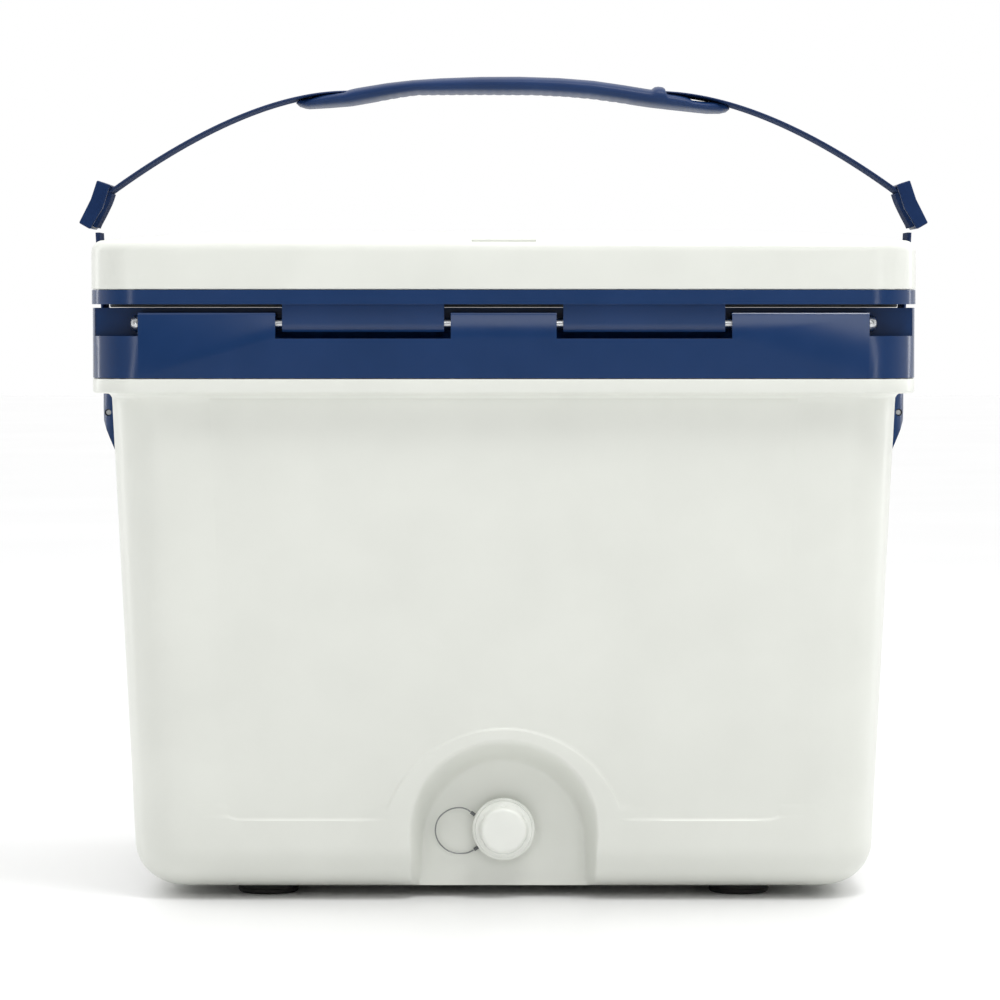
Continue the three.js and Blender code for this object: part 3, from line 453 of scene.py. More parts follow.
# Real webbing has a yarn every 0.8 mm or so; 1.6 mm is as fine as shows from the camera.
WEBBING = woven("woven_polyester_navy", "112549", "162D57", 1.6 * MM)
print("finishes:", [material.name for material in bpy.data.materials])

# %% [markdown]
# ## Floor
# The floor is a wide pale plane with a satin paint, which takes the soft shadow under the cooler. It
# isn't part of the cooler, so it is only staged.

# %% Floor
floor_paint, floor_tree, floor_shader = new_material("painted_floor_white", Roughness=0.32)
floor_where = object_coordinates(floor_tree)
mottled(floor_tree, floor_shader, "EAEAEA", "EDEDED", 0.5, floor_where)
FLOOR_HALF = 14.0
floor = piece_of("floor", [(-FLOOR_HALF, -FLOOR_HALF, 0), (FLOOR_HALF, -FLOOR_HALF, 0),
                           (FLOOR_HALF, FLOOR_HALF, 0), (-FLOOR_HALF, FLOOR_HALF, 0)], [(0, 1, 2, 3)])
floor.data.materials.append(floor_paint)
print("floor:", 2 * FLOOR_HALF, "m wide")

# %% [markdown]
# ## The drain's wire tether
# A thin stranded wire keeps the plug from getting lost. It is the only free cord: about 6 cm of 0.9 mm
# wire that goes from the crimp on the fitting, round in one loop, and back to the crimp on the plug's
# collar. Each strand could be its own tube, but at this size one tube whose radius has lobes that twist
# along it looks the same.

# %% Tether
flange_low, flange_high = box("drain_fitting")
drain_z = (flange_low[2] + flange_high[2]) / 2
flange_front = flange_low[1]
# x and z about the drain's centre, and how far the wire stands out from the fitting's face, in millimetres.
TETHER = [
    (-20.2, 1.6, 10.2), (-22, 1.7, 11.5), (-24.7, 1.7, 12.5), (-27.4, 1.6, 12.7), (-30.6, 1.5, 12.3),
    (-33.9, 1.3, 11), (-37, 1.2, 8.9), (-39.5, 1, 6.1), (-41, 0.8, 2.9), (-41.6, 0.5, -0.8),
    (-41.2, 0.3, -4.6), (-39.7, 0, -8.2), (-37.3, -0.3, -11.3), (-34.1, -0.6, -13.8), (-30.3, -0.9, -15.2),
    (-26.5, -1.2, -15.6), (-22.9, -1.4, -15.5), (-20.2, -1.5, -14.6), (-18.3, -1.5, -13.5),
]
route = np.array([(x * MM, flange_front - out * MM, drain_z + z * MM) for x, out, z in TETHER])[::-1]


def smooth_path(points, count):
    """A Catmull-Rom curve: on each span it leaves and arrives along the chord of the points either side."""
    points = np.asarray(points, dtype=float)
    padded = np.vstack([2 * points[0] - points[1], points, 2 * points[-1] - points[-2]])
    spans = len(points) - 1
    at = np.linspace(0, spans, count)
    span = np.minimum(at.astype(int), spans - 1)
    t = (at - span)[:, None]
    a, b, c, d = (padded[span + i] for i in range(4))
    bend = (2 * a - 5 * b + 4 * c - d) * t ** 2 + (3 * b - a - 3 * c + d) * t ** 3
    return 0.5 * (2 * b + (c - a) * t + bend)


def lengths_along(path):
    """Distance along the path at each of its points."""
    return np.concatenate([[0], np.cumsum(np.linalg.norm(np.diff(path, axis=0), axis=1))])


def tube_points(path, radius_of, columns):
    """Rings square to a path: side times cosine plus up times sine, times radius_of(angle, distance)."""
    tangent = np.gradient(path, axis=0)
    tangent /= np.linalg.norm(tangent, axis=1)[:, None]
    side = np.cross(tangent, (0, 1, 0))
    side /= np.linalg.norm(side, axis=1)[:, None]
    up = np.cross(side, tangent)
    angle = np.linspace(0, 2 * math.pi, columns, endpoint=False)[None, :]
    radius = radius_of(angle, lengths_along(path)[:, None])
    return (path[:, None] + (radius * np.cos(angle))[..., None] * side[:, None]
            + (radius * np.sin(angle))[..., None] * up[:, None])


WIRE_RADIUS = 0.45 * MM
LAY_LENGTH = 6 * MM
STRANDS = 6
STRAND_DEPTH = 0.12
wire_path = smooth_path(route, 150)
wire_points = tube_points(wire_path, lambda angle, along: WIRE_RADIUS * (
    1 - STRAND_DEPTH * np.abs(np.sin(STRANDS / 2 * (angle - 2 * math.pi * along / LAY_LENGTH)))), 24)
tether = grid_piece("tether_wire", wire_points, smooth=60)
tether.data.materials.append(WIRE)
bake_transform(tether)
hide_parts("drain_tether")

# %% [markdown]
# ## Crimps
# The two crimps are short sleeves squeezed on the wire's ends. Each is the same kind of tube as the wire,
# with a radius that rolls in at its ends and has two dents where the tool pressed it.


# %% Crimps
def sleeve(name, node, along):
    """A squeezed sleeve in the box of a CAD crimp, along a direction, with two pinched bands."""
    low, high = box(node)
    middle = (low + high) / 2
    along = along / np.linalg.norm(along)
    half, radius, rolled = 1.5 * MM, 1.1 * MM, 0.12
    step = np.linspace(-1, 1, 25)
    path = middle + step[:, None] * along * half
    edge = np.clip((1 - np.abs(step)) / rolled, 0, 1)[:, None]
    dents = (np.exp(-((step - 0.4) / 0.14) ** 2) + np.exp(-((step + 0.4) / 0.14) ** 2))[:, None]
    points = tube_points(path, lambda angle, _: radius * (0.8 + 0.2 * np.sqrt(1 - (1 - edge) ** 2)) * (
        1 - 0.16 * dents * np.abs(np.cos(angle))), 28)
    return grid_piece(name, points)


crimp_lower = sleeve("crimp_lower", "tether_crimp_lower", wire_path[0] - wire_path[3])
crimp_upper = sleeve("crimp_upper", "tether_crimp_upper", wire_path[-1] - wire_path[-4])
finish(crimp_lower, "tub", CRIMP, "crimp_metal", "tether_crimp_lower")
finish(crimp_upper, "plug_collar", CRIMP, "crimp_metal", "tether_crimp_upper")

# %% [markdown]
# ## The tub's outer shell
# The tub is one rotomoulded body: sides that lean in by 2.5 degrees, round corners, a lip at the top, a
# slightly sunk panel on the back and front, and a scooped arch round the drain. It could be a box that is
# sculpted, but a grid keeps every size exact: columns go round the plan outline and rows go up the wall.

# %% Outline of the tub
box_low, box_high = box("tub_shell")
lip_x, lip_y = box_high[0], box_high[1]
body_bottom, body_top = box_low[2], box_high[2]
LIP_HEIGHT = 9 * MM
LIP_OVERHANG = 10 * MM
DRAFT = math.tan(math.radians(2.55))
lip_base = body_top - LIP_HEIGHT


def smoothstep(value, low, high):
    """0 below low, 1 above high, and a smooth S between."""
    t = np.clip((value - low) / (high - low), 0, 1)
    return t * t * (3 - 2 * t)


def stations(*runs):
    """Fractions from -1 to 1 along a side, mirrored; each run is (end, count) from the middle out."""
    half = [0.0]
    for end, count in runs:
        half.extend(np.linspace(half[-1], end, count + 1)[1:])
    return np.concatenate([-np.array(half[:0:-1]), half])


def outline_points(half_x, half_y, radius, back, side, front, corner_steps=10):
    """A round-cornered rectangle from its back left, anticlockwise from above, for many sizes at once."""
    half_x, half_y, radius = (np.asarray(v, dtype=float)[:, None] for v in (half_x, half_y, radius))
    quarter = np.linspace(0, math.pi / 2, corner_steps + 1)[1:-1][None, :]
    runs = []
    for fractions, turn in ((back, 0), (side, 1), (front, 2), (side, 3)):
        length, depth = (half_x, half_y) if turn % 2 == 0 else (half_y, half_x)
        a = fractions[None, :] * (length - radius)
        b = -depth + np.zeros_like(a)
        ca = (length - radius) + radius * np.sin(quarter)
        cb = -(depth - radius) - radius * np.cos(quarter)
        a, b = np.concatenate([a, ca], axis=1), np.concatenate([b, cb], axis=1)
        x, y = ((a, b), (-b, a), (-a, -b), (b, -a))[turn]
        runs.append(np.stack([x, y], axis=-1))
    return np.concatenate(runs, axis=1)


print("lip from", round(lip_base, 4), "to", round(body_top, 4))

# %% [markdown]
# Each row has a height, an inset from the lip's outline and a corner radius. They go round the bottom
# edge, up the leaning wall and over the lip, and then back down inside, 3 mm in, to give the wall its
# thickness. The rows are close together round the drain, where the surface bends most.

# %% Rows of the tub
BODY_EDGE = 26 * MM
BODY_CORNER = 36 * MM
LIP_CORNER = 30 * MM
rounding = np.linspace(0, math.pi / 2, 15)
rows = [(body_bottom + BODY_EDGE * (1 - math.cos(a)), BODY_EDGE * (1 - math.sin(a))) for a in rounding]
FINE_TOP = 109.5 * MM
fine = np.arange(body_bottom + BODY_EDGE + 1.5 * MM, FINE_TOP, 0.8 * MM)
coarse = np.linspace(FINE_TOP + 2.5 * MM, lip_base - 6 * MM, 16)
plain = [(z, 0.0) for z in np.concatenate([fine, coarse])]
heights = np.array([z for z, _ in rows + plain])
insets = np.array([inset for _, inset in rows + plain])
lean = LIP_OVERHANG + (lip_base - 1.5 * MM - heights) * DRAFT + insets
corner = np.clip(BODY_CORNER - insets, 8 * MM, None)
# The lip: a small fillet under it, a rounded lower edge, a straight face and a rounded top edge.
LIP_LOWER_EDGE = 1.5 * MM
LIP_UPPER_EDGE = 0.8 * MM
lip_rows = [(lip_base - 3 * MM, LIP_OVERHANG), (lip_base - 1.2 * MM, 0.9 * LIP_OVERHANG),
            (lip_base - 0.2 * MM, 0.75 * LIP_OVERHANG), (lip_base, 0.14 * LIP_OVERHANG)]
lip_rows += [(lip_base + LIP_LOWER_EDGE * (1 - math.cos(a)), LIP_LOWER_EDGE * (1 - math.sin(a)))
             for a in np.linspace(0.2, math.pi / 2, 5)]
lip_rows += [(body_top - LIP_UPPER_EDGE * (1 - math.sin(a)), LIP_UPPER_EDGE * (1 - math.cos(a)))
             for a in np.linspace(0, math.pi / 2, 4)]
heights = np.concatenate([heights, [z for z, _ in lip_rows]])
lean = np.concatenate([lean, [inset for _, inset in lip_rows]])
corner = np.concatenate([corner, np.interp([inset for _, inset in lip_rows], [0, LIP_OVERHANG],
                                           [LIP_CORNER, BODY_CORNER])])
back_fractions = stations((0.37, 104), (0.83, 10), (0.875, 14), (1.0, 3))
side_fractions = stations((1.0, 6))
front_fractions = stations((0.83, 6), (0.875, 14), (1.0, 2))
INNER_WALL = 3 * MM
inner = np.r_[len(heights) - 3, np.arange(len(heights) - 14, 0, -12), 0]
heights = np.concatenate([heights, heights[inner] + np.where(inner == 0, INNER_WALL, 0)])
lean = np.concatenate([lean, lean[inner] + INNER_WALL])
corner = np.concatenate([corner, np.clip(corner[inner] - INNER_WALL, 5 * MM, None)])
wall = outline_points(lip_x - lean, lip_y - lean, corner, back_fractions, side_fractions, front_fractions)
is_inner = (np.arange(len(heights)) >= len(heights) - len(inner))[:, None]
shell_points = np.concatenate([wall, np.broadcast_to(heights[:, None, None], wall.shape[:2] + (1,))], axis=-1)
print("shell grid:", shell_points.shape[:2])

# %% [markdown]
# ## Panel and scoop
# The panel and the scoop are pushed into the wall by how far each point is inside their outlines. Each
# outline is a signed distance: negative inside, in metres. The panel is a rectangle with round lower
# corners, and the arch is bitten out of it with a soft joint. The scoop is an arch whose sides run
# straight down.


# %% Panel and scoop
def rounded_box_distance(x, z, half, low, high, radius):
    """Distance to a round-cornered rectangle: that to one smaller by the radius, less the radius."""
    dx = np.abs(x) - (half - radius)
    dz = np.abs(z - (low + high) / 2) - ((high - low) / 2 - radius)
    outside = np.hypot(np.clip(dx, 0, None), np.clip(dz, 0, None))
    return outside + np.minimum(np.maximum(dx, dz), 0) - radius


def soft_max(a, b, blend):
    """The larger of two distances, with the crease between them rounded over a blend length."""
    h = np.clip(0.5 + 0.5 * (a - b) / blend, 0, 1)
    return b + (a - b) * h + blend * h * (1 - h)


PANEL_HALF = 180.6 * MM
PANEL_BOTTOM = 49.6 * MM
ARCH_RADIUS, ARCH_Z = 75.3 * MM, 29.8 * MM
SCOOP_RADIUS, SCOOP_Z = 55.3 * MM, 38.8 * MM
PANEL_CORNER = 23 * MM
PANEL_DEPTH = 1.1 * MM
PANEL_STEP = (-0.9 * MM, 0.5 * MM)
recess_y = flange_front + 3.3 * MM + np.where(is_inner, INNER_WALL, 0)
x, y, z = shell_points[..., 0], shell_points[..., 1], shell_points[..., 2]
on_wall = (z < lip_base - 2.9 * MM) & (np.abs(x) < 0.197)
PANEL_TOP = 600 * MM    # well above the lip, so that the panel has no top edge
panel = rounded_box_distance(x, z, PANEL_HALF, PANEL_BOTTOM, PANEL_TOP, PANEL_CORNER)
arch = ARCH_RADIUS - np.hypot(x, z - ARCH_Z)
back_panel = soft_max(panel, arch, 9 * MM)
sunk = PANEL_DEPTH * (1 - smoothstep(back_panel, *PANEL_STEP))
y += np.where(on_wall & (y < 0), sunk, 0)
sunk_front = PANEL_DEPTH * (1 - smoothstep(panel, *PANEL_STEP))
y -= np.where(on_wall & (y > 0), sunk_front, 0)
inside = SCOOP_RADIUS - np.where(z > SCOOP_Z, np.hypot(x, z - SCOOP_Z), np.abs(x))
rise = smoothstep(z, 0.02, 0.085)
scoop = smoothstep(inside, -(1.5 + 3.5 * rise) * MM, (6 + 6 * rise) * MM)
y += np.where(on_wall & (y < 0), scoop * np.clip(recess_y - y, 0, None), 0)
tub_shell = grid_piece("tub_outer_shell", shell_points, smooth=40)
print("panel", round(2 * PANEL_HALF, 4), "wide, scoop", round(2 * SCOOP_RADIUS, 4), "wide")

# %% [markdown]
# The drain's fitting goes through both walls of the tub. A Boolean would leave slivers on so fine a grid,
# so the faces near the axis are deleted from both walls, and the two holes are bridged by a ring of new
# faces.

# %% Bore for the drain
BORE = 11.5 * MM
work = bmesh.new()
work.from_mesh(tub_shell.data)
near_drain = [face for face in work.faces if face.calc_center_median().y < flange_front + 8 * MM]
bore = [face for face in near_drain
        if min(math.hypot(v.co.x, v.co.z - drain_z) for v in face.verts) < BORE - 0.6 * MM]
bmesh.ops.delete(work, geom=bore, context="FACES")
bmesh.ops.bridge_loops(work, edges=[edge for edge in work.edges if edge.is_boundary])
work.to_mesh(tub_shell.data)
work.free()
finish(tub_shell, "tub", SHELL, "shell_white", "tub_shell")

# %% [markdown]
# ## The lid's white top
# The lid top is a shallow crowned cap. A subdivided box would round it too evenly, so it is a grid: rows
# go up its side, over a rounded edge and in towards the middle along the crown. The notch in its back
# edge and the two latch pockets are cut out of it, and so is the hollow that holds the foam.

# %% Lid top
lid_low, lid_high = box("lid_shell")


def lid_cap(name, inset, base):
    """The lid's shape less an inset: a wall, a quarter-round, then a crown that rises less and less."""
    crown = 7.7 * MM
    edge = 7 * MM - inset / 2
    side_top = lid_high[2] - crown - inset
    turn = np.linspace(0, math.pi / 2, 8)
    profile = [(base, inset + 0.5 * MM), (base + 0.5 * MM, inset)]
    profile += [(side_top - edge * (1 - math.sin(a)), inset + edge * (1 - math.cos(a))) for a in turn]
    reach = np.array([0.08, 0.16, 0.26, 0.38, 0.52, 0.68, 0.84, 0.97])
    far = lid_high[1] - inset - edge
    profile += [(side_top + crown * (1 - (1 - r) ** 2.4), inset + edge + far * r) for r in reach]
    height, back = np.array(profile).T
    radius = np.clip(LIP_CORNER - back * 0.75, 3 * MM, None)
    flat = outline_points(lid_high[0] - back, lid_high[1] - back, radius, stations((1, 4)), stations((1, 3)),
                          stations((1, 4)), 12)
    points = np.concatenate([flat, np.broadcast_to(height[:, None, None], flat.shape[:2] + (1,))], axis=-1)
    return grid_piece(name, points, smooth=35)


print("lid cap from", round(lid_low[2], 4), "to", round(lid_high[2], 4))

# %% [markdown]
# The notch and the latch pockets are boxes. Each is cut from the cap at its own size, and from the hollow
# grown by the wall, so that the wall goes on round it.

# %% Notch, pockets and hollow
pin_box = {side: box(f"latch_pin_{side}") for side in ("left", "right")}
pocket_floor = float(pin_box["left"][0][1]) - 8.5 * MM
pocket_top = float(pin_box["left"][1][2]) + 7 * MM


def latch_room(side, grow):
    """The box that a latch hangs in, grown on its inner sides."""
    centre = float((pin_box[side][0][0] + pin_box[side][1][0]) / 2)
    half = 20 * MM + grow
    return block((centre - half, pocket_floor - grow, lid_low[2] - 0.02), (centre + half, lid_high[1] + 0.01,
                                                                           pocket_top + grow))


def notch_room(grow):
    """The box of the notch in the lid's back edge, grown on its inner sides."""
    half = 19.25 * MM + grow
    return block((-half, lid_low[1] - 0.01, lid_high[2] - 9 * MM - grow),
                 (half, lid_low[1] + 9 * MM + grow, lid_high[2] + 0.01))


lid_wall = 3.5 * MM
hollow = lid_cap("hollow", lid_wall, lid_low[2] - 3 * MM)
lid_top = lid_cap("lid_top", 0, lid_low[2])
for side in ("left", "right"):
    cut(hollow, latch_room(side, lid_wall))
    cut(lid_top, latch_room(side, 0))
cut(hollow, notch_room(lid_wall))
cut(lid_top, notch_room(0))
cut(lid_top, hollow)
bevelled(lid_top, 0.6 * MM, 2, 50)
finish(lid_top, "lid", SHELL, "shell_white", "lid_shell")

# %% [markdown]
# ## Rim and lid band
# These two navy mouldings have hinge blocks, tabs, pockets and latch recesses that must stay where the
# working part has them, so each is a merged copy of its solid with every sharp edge rounded, as the
# mould's own edges are. The brackets, latches, adjusters, liners and gasket are made the same way.

# %% Mouldings from the working solids
MOULDINGS = (("rim_frame", "rim_moulding", "tub", 0.9), ("lid_frame", "lid_band", "lid", 0.8))
for node, name, body, width in MOULDINGS:
    finish(copy_of(node, name, width * MM), body, NAVY, "navy_plastic", node)
for side in ("left", "right"):
    bracket = copy_of(f"side_bracket_{side}", f"strap_bracket_{side}", 1.2 * MM)
    finish(bracket, "tub", NAVY, "navy_plastic", f"side_bracket_{side}")
    latch = copy_of(f"latch_{side}", f"rubber_latch_{side}", 1.3 * MM, 4)
    finish(latch, f"latch_{side}", LATCH, "latch_rubber", f"latch_{side}")
    buckle = copy_of(f"adjuster_{side}", f"strap_adjuster_{side}", 0.9 * MM)
    finish(buckle, "shoulder_strap", BUCKLE, "adjuster_plastic", f"adjuster_{side}")
finish(copy_of("tub_liner", "inner_tub", 1.0 * MM), "tub", LINER, "liner_white", "tub_liner")
finish(copy_of("lid_liner", "lid_underside", 1.0 * MM), "lid", LINER, "liner_white", "lid_liner")
finish(copy_of("lid_gasket", "lid_seal", 0.8 * MM), "lid", GASKET, "gasket", "lid_gasket")

# %% [markdown]
# ## Turned pieces
# Feet, screws, the hinge rod, its caps and the drain parts are round. A Screw modifier could turn them,
# but here each is a profile of radius against height, turned about an axis as one array, because then the
# radius may also depend on the angle, which gives hexagon sockets, a thread and grip notches.


# %% Turning
def turned(name, profile, place, axis, columns=48, radius_of=None, closed=False, smooth=35):
    """Turns (radius, height) pairs about a line through a place; closed joins the last pair to the first."""
    profile = np.asarray(profile, dtype=float)
    angle = np.linspace(0, 2 * math.pi, columns, endpoint=False)[None, :]
    radius, height = profile[:, :1], profile[:, 1:]
    radius = radius_of(angle, height, radius) if radius_of else radius + 0 * angle
    height = height + 0 * angle
    across = radius * np.cos(angle), radius * np.sin(angle)
    order = {"x": (height, across[0], across[1]), "-x": (-height, across[0], across[1]),
             "-y": (across[0], -height, across[1]), "z": (across[0], across[1], height)}[axis]
    points = np.stack(order, axis=-1) + np.asarray(place, dtype=float)
    return grid_piece(name, points, ends=(not closed, not closed), wrap_rows=closed, smooth=smooth)


def rounded_corner(radius, height, size, start, end, steps=4):
    """Points of a quarter-round about a centre, from one angle in degrees to another."""
    turn = np.radians(np.linspace(start, end, steps + 1))
    return [(radius + size * math.cos(a), height + size * math.sin(a)) for a in turn]


def hexagon(angle):
    """A hexagon's radius over its corner's: cosine of 30 degrees over cosine of the angle off a flat."""
    return np.cos(math.pi / 6) / np.cos(angle % (math.pi / 3) - math.pi / 6)


print("helpers for turned pieces are ready")

# %% [markdown]
# ## Feet and their screws
# Each foot is a low rubber puck with grooves underneath for grip, and a well that hides the head of the
# stainless screw that holds it. The screw has a pan head with a hexagon socket.


# %% Feet and their screws
def socket_screw(name, head, shank, length, head_height, place, axis):
    """A pan-head screw: a turned profile whose socket's radius follows six flats."""
    socket = head * 0.42
    depth = -head_height * 0.45
    profile = [(0.02 * MM, depth), (socket, depth), (socket * 1.001, -head_height)]
    profile += [(head - head_height * 0.5, -head_height)]
    profile += rounded_corner(head - head_height * 0.5, -head_height * 0.5, head_height * 0.5, -80, 0)
    profile += [(head, 0), (shank, 0), (shank, length - 2 * MM), (0.2 * MM, length)]

    def flats(angle, _, radius):
        """The hexagon's radius at the socket's wall, and the profile's own elsewhere."""
        return np.where(np.abs(radius - socket) < socket * 0.01, radius * hexagon(angle), radius + 0 * angle)

    return turned(name, profile, place, axis, 36, flats)


FOOT_GROOVES = 3
FIRST_GROOVE, GROOVE_SPACING, GROOVE_DEPTH = 7.5 * MM, 3.2 * MM, 0.9 * MM
SCREW_HEAD, SCREW_SHANK, SCREW_HEAD_HEIGHT = 4.2 * MM, 2 * MM, 2.7 * MM
for name in [f"{end}_{side}" for end in ("back", "front") for side in ("left", "right")]:
    low, high = box(f"foot_{name}")
    screw_low, screw_high = box(f"foot_screw_{name}")
    centre = (low + high) / 2
    radius, height = (high[0] - low[0]) / 2, high[2] - low[2]
    well, bore_radius, step = 5 * MM, 2.3 * MM, 4 * MM
    profile = [(well, step), (well, 0.5 * MM), (well + 0.5 * MM, 0)]
    for groove in range(FOOT_GROOVES):
        at = FIRST_GROOVE + groove * GROOVE_SPACING
        profile += [(at, 0), (at + 0.3 * MM, GROOVE_DEPTH), (at + 1.1 * MM, GROOVE_DEPTH), (at + 1.4 * MM, 0)]
    profile += rounded_corner(radius - 1.8 * MM, 1.8 * MM, 1.8 * MM, -90, 0)
    notch = radius - 0.5 * MM
    profile += [(radius, height * 0.45), (notch, height * 0.5)]
    profile += [(notch, height * 0.56), (radius, height * 0.61)]
    profile += rounded_corner(radius - 0.6 * MM, height - 0.6 * MM, 0.6 * MM, 0, 90)
    profile += [(bore_radius, height), (bore_radius, step)]
    foot = turned(f"rubber_foot_{name}", profile, (centre[0], centre[1], low[2]), "z", 64, closed=True)
    finish(foot, "tub", RUBBER, "black_rubber", f"foot_{name}")
    head_face = screw_low[2] + SCREW_HEAD_HEIGHT
    screw = socket_screw(f"foot_screw_head_{name}", SCREW_HEAD, SCREW_SHANK, screw_high[2] - head_face,
                         SCREW_HEAD_HEIGHT, (centre[0], centre[1], head_face), "z")
    finish(screw, "tub", STEEL, "stainless_steel", f"foot_screw_{name}")

# %% [markdown]
# ## Hinge rod, its caps and the pins
# The lid turns on one drawn steel rod, held by a domed cap pushed on each end. The same kind of pin holds
# each latch, and another in each side bracket holds the webbing. Chamfers on the ends let them be driven
# in.

# %% Hinge rod, its caps and the pins
rod_low, rod_high = box("hinge_rod")
rod_y, rod_z = (rod_low[1] + rod_high[1]) / 2, (rod_low[2] + rod_high[2]) / 2


def pin(name, node, axis, body, sunk=0):
    """A straight pin with small chamfers in the box of a CAD pin, its ends sunk by so many metres."""
    low, high = box(node)
    along = {"x": 0, "-y": 1}[axis]
    across = 2
    radius, half = (high[across] - low[across]) / 2, (high[along] - low[along]) / 2 - sunk
    chamfer = 0.4 * MM
    profile = [(0.05 * MM, -half), (radius - chamfer, -half), (radius, -half + chamfer),
               (radius, half - chamfer), (radius - chamfer, half), (0.05 * MM, half)]
    made = turned(name, profile, (low + high) / 2, axis, 40)
    return finish(made, body, STEEL, "stainless_steel", node)


pin("steel_hinge_rod", "hinge_rod", "x", "tub")
BRACKET_HEAD_HEIGHT = 2.4 * MM
ANCHOR_SUNK = 7 * MM
for side, axis in (("left", "-x"), ("right", "x")):
    pin(f"steel_latch_pin_{side}", f"latch_pin_{side}", "x", "lid")
    pin(f"steel_anchor_pin_{side}", f"anchor_pin_{side}", "-y", "tub", ANCHOR_SUNK)
    low, high = box(f"hinge_rod_cap_{side}")
    face = low[0] if side == "right" else high[0]
    radius, depth = (high[2] - low[2]) / 2, high[0] - low[0]
    bore_radius = 3.5 * MM
    rise = depth - 1.0 * MM
    dome = [(radius * math.cos(a), 1.0 * MM + rise * math.sin(a)) for a in np.linspace(0, 1.5, 9)]
    profile = [(bore_radius, 0), (radius - 0.3 * MM, 0), (radius, 0.3 * MM)] + dome
    profile += [(0.05 * MM, depth), (0.05 * MM, 2.3 * MM), (bore_radius, 2.3 * MM)]
    cap = turned(f"domed_rod_cap_{side}", profile, (face, rod_y, rod_z), axis, 48, closed=True)
    finish(cap, "tub", STEEL, "stainless_steel", f"hinge_rod_cap_{side}")
    for end in ("back", "front"):
        low, high = box(f"bracket_screw_{side}_{end}")
        centre = (low + high) / 2
        sign = 1 if side == "right" else -1
        seat = (high[0] if side == "right" else -low[0]) - BRACKET_HEAD_HEIGHT
        tip = low[0] if side == "right" else -high[0]
        screw = socket_screw(f"bracket_screw_head_{side}_{end}", SCREW_HEAD, SCREW_SHANK, seat - tip,
                             BRACKET_HEAD_HEIGHT, (sign * seat, centre[1], centre[2]),
                             "-x" if side == "right" else "x")
        finish(screw, "tub", STEEL, "stainless_steel", f"bracket_screw_{side}_{end}")

# %% [markdown]
# ## Drain fitting and collar
# The fitting is a flanged tube that goes through both walls. The collar is a thin ring in the plug's neck
# that doesn't turn with it, so the wire on it never winds up.

# %% Drain fitting and collar
drain_place = (0, flange_front, drain_z)
fitting_end = -(flange_high[1] - flange_front)
profile = [(7.4, 0), (16.2, 0), (16.9, -0.4), (17, -1), (17, -2.6), (16.6, -3), (10.7, -3)]
profile = [(r * MM, h * MM) for r, h in profile]
for turn in range(20):
    at = -4 * MM + (fitting_end + 4 * MM) * (turn + 0.5) / 20
    profile += [(10.7 * MM, at + 0.25 * MM), (10.2 * MM, at - 0.25 * MM)]
profile += [(10.4 * MM, fitting_end), (7.4 * MM, fitting_end)]
fitting = turned("drain_flange", profile, drain_place, "-y", 64, closed=True)
finish(fitting, "tub", DRAIN, "drain_plastic", "drain_fitting")
collar_low, collar_high = box("plug_collar")
collar_back, collar_front = flange_front - collar_high[1], flange_front - collar_low[1]
profile = [(9.3 * MM, collar_back), (16.6 * MM, collar_back), (17 * MM, collar_back + 0.4 * MM),
           (17 * MM, collar_front - 0.4 * MM), (16.6 * MM, collar_front), (9.3 * MM, collar_front)]
finish(turned("tether_collar", profile, drain_place, "-y", 64, closed=True), "plug_collar", DRAIN,
       "drain_plastic", "plug_collar")

# %% [markdown]
# ## Drain plug
# The plug is turned like a bottle cap: a broad flange, a step, and a tapered knob with short grip notches
# at its foot, on a shank whose thread is a ridge that climbs 3 mm with each turn.

# %% Drain plug
plug_low, plug_high = box("drain_plug")
tip = -(plug_high[1] - flange_front)
face = flange_front - plug_low[1]
knob = face - 12.6 * MM
PITCH = 3 * MM
shank = [(0.05, tip / MM), (5.8, tip / MM), (6.6, tip / MM + 0.8)]
shank += [(6.8, h) for h in np.linspace(tip / MM + 1, -8.1, 40)]
shank += [(5.6, -8), (5.6, -5.8), (6.8, -5.7)] + [(6.8, h) for h in np.linspace(-5.5, -0.4, 22)]
shank += [(6.8, 0.3), (8.8, 0.3), (9, 0.5), (9, knob / MM - 0.05)]
head = [
    (18.2, 0), (18.7, 0.15), (19, 0.7), (19, 1.7), (18.7, 2.25), (18.1, 2.5), (17.5, 2.6),
    (17.35, 3.4), (17.3, 4.4), (17.0, 4.95), (16.4, 5.2), (15.6, 5.35), (15.2, 5.8), (14.9, 6.8),
    (14.5, 8.2), (14.1, 9.6), (13.75, 10.8), (13.4, 11.5), (12.8, 12.05), (12, 12.3), (10.5, 12.2),
    (6, 12.0), (0.05, 11.95),
]
profile = [(r * MM, h * MM) for r, h in shank] + [(r * MM, knob + h * MM) for r, h in head]


def thread_and_flutes(angle, height, radius):
    """Adds a ridge where height less angle is a whole pitch, and takes six notches off the knob's foot."""
    turns = height / PITCH - angle / (2 * math.pi)
    ridge = 0.4 * MM * (1 - np.abs(2 * (turns % 1) - 1)) * (np.abs(radius - 6.8 * MM) < 0.01 * MM)
    on_knob = smoothstep(height - knob, 5.4 * MM, 6 * MM) * (1 - smoothstep(height - knob, 7 * MM, 8.6 * MM))
    notch = 1.1 * MM * np.clip(np.cos(3 * (angle - math.pi / 6)) ** 2, 0, 1) ** 14
    return radius + ridge - on_knob * notch


plug = turned("screw_drain_plug", profile, drain_place, "-y", 120, thread_and_flutes, smooth=50)
finish(plug, "drain_plug", DRAIN, "drain_plastic", "drain_plug")

# %% [markdown]
# ## Nut, washer and seal ring
# A hexagon nut pulls the fitting tight against a rubber washer inside the tub, and a ring in the plug's
# groove seals it. The rubber rings have a section between a round and a square, as soft rings do when
# they are pressed.

# %% Nut, washer and seal ring
nut_low, nut_high = box("drain_nut")
near, far = flange_front - nut_high[1], flange_front - nut_low[1]


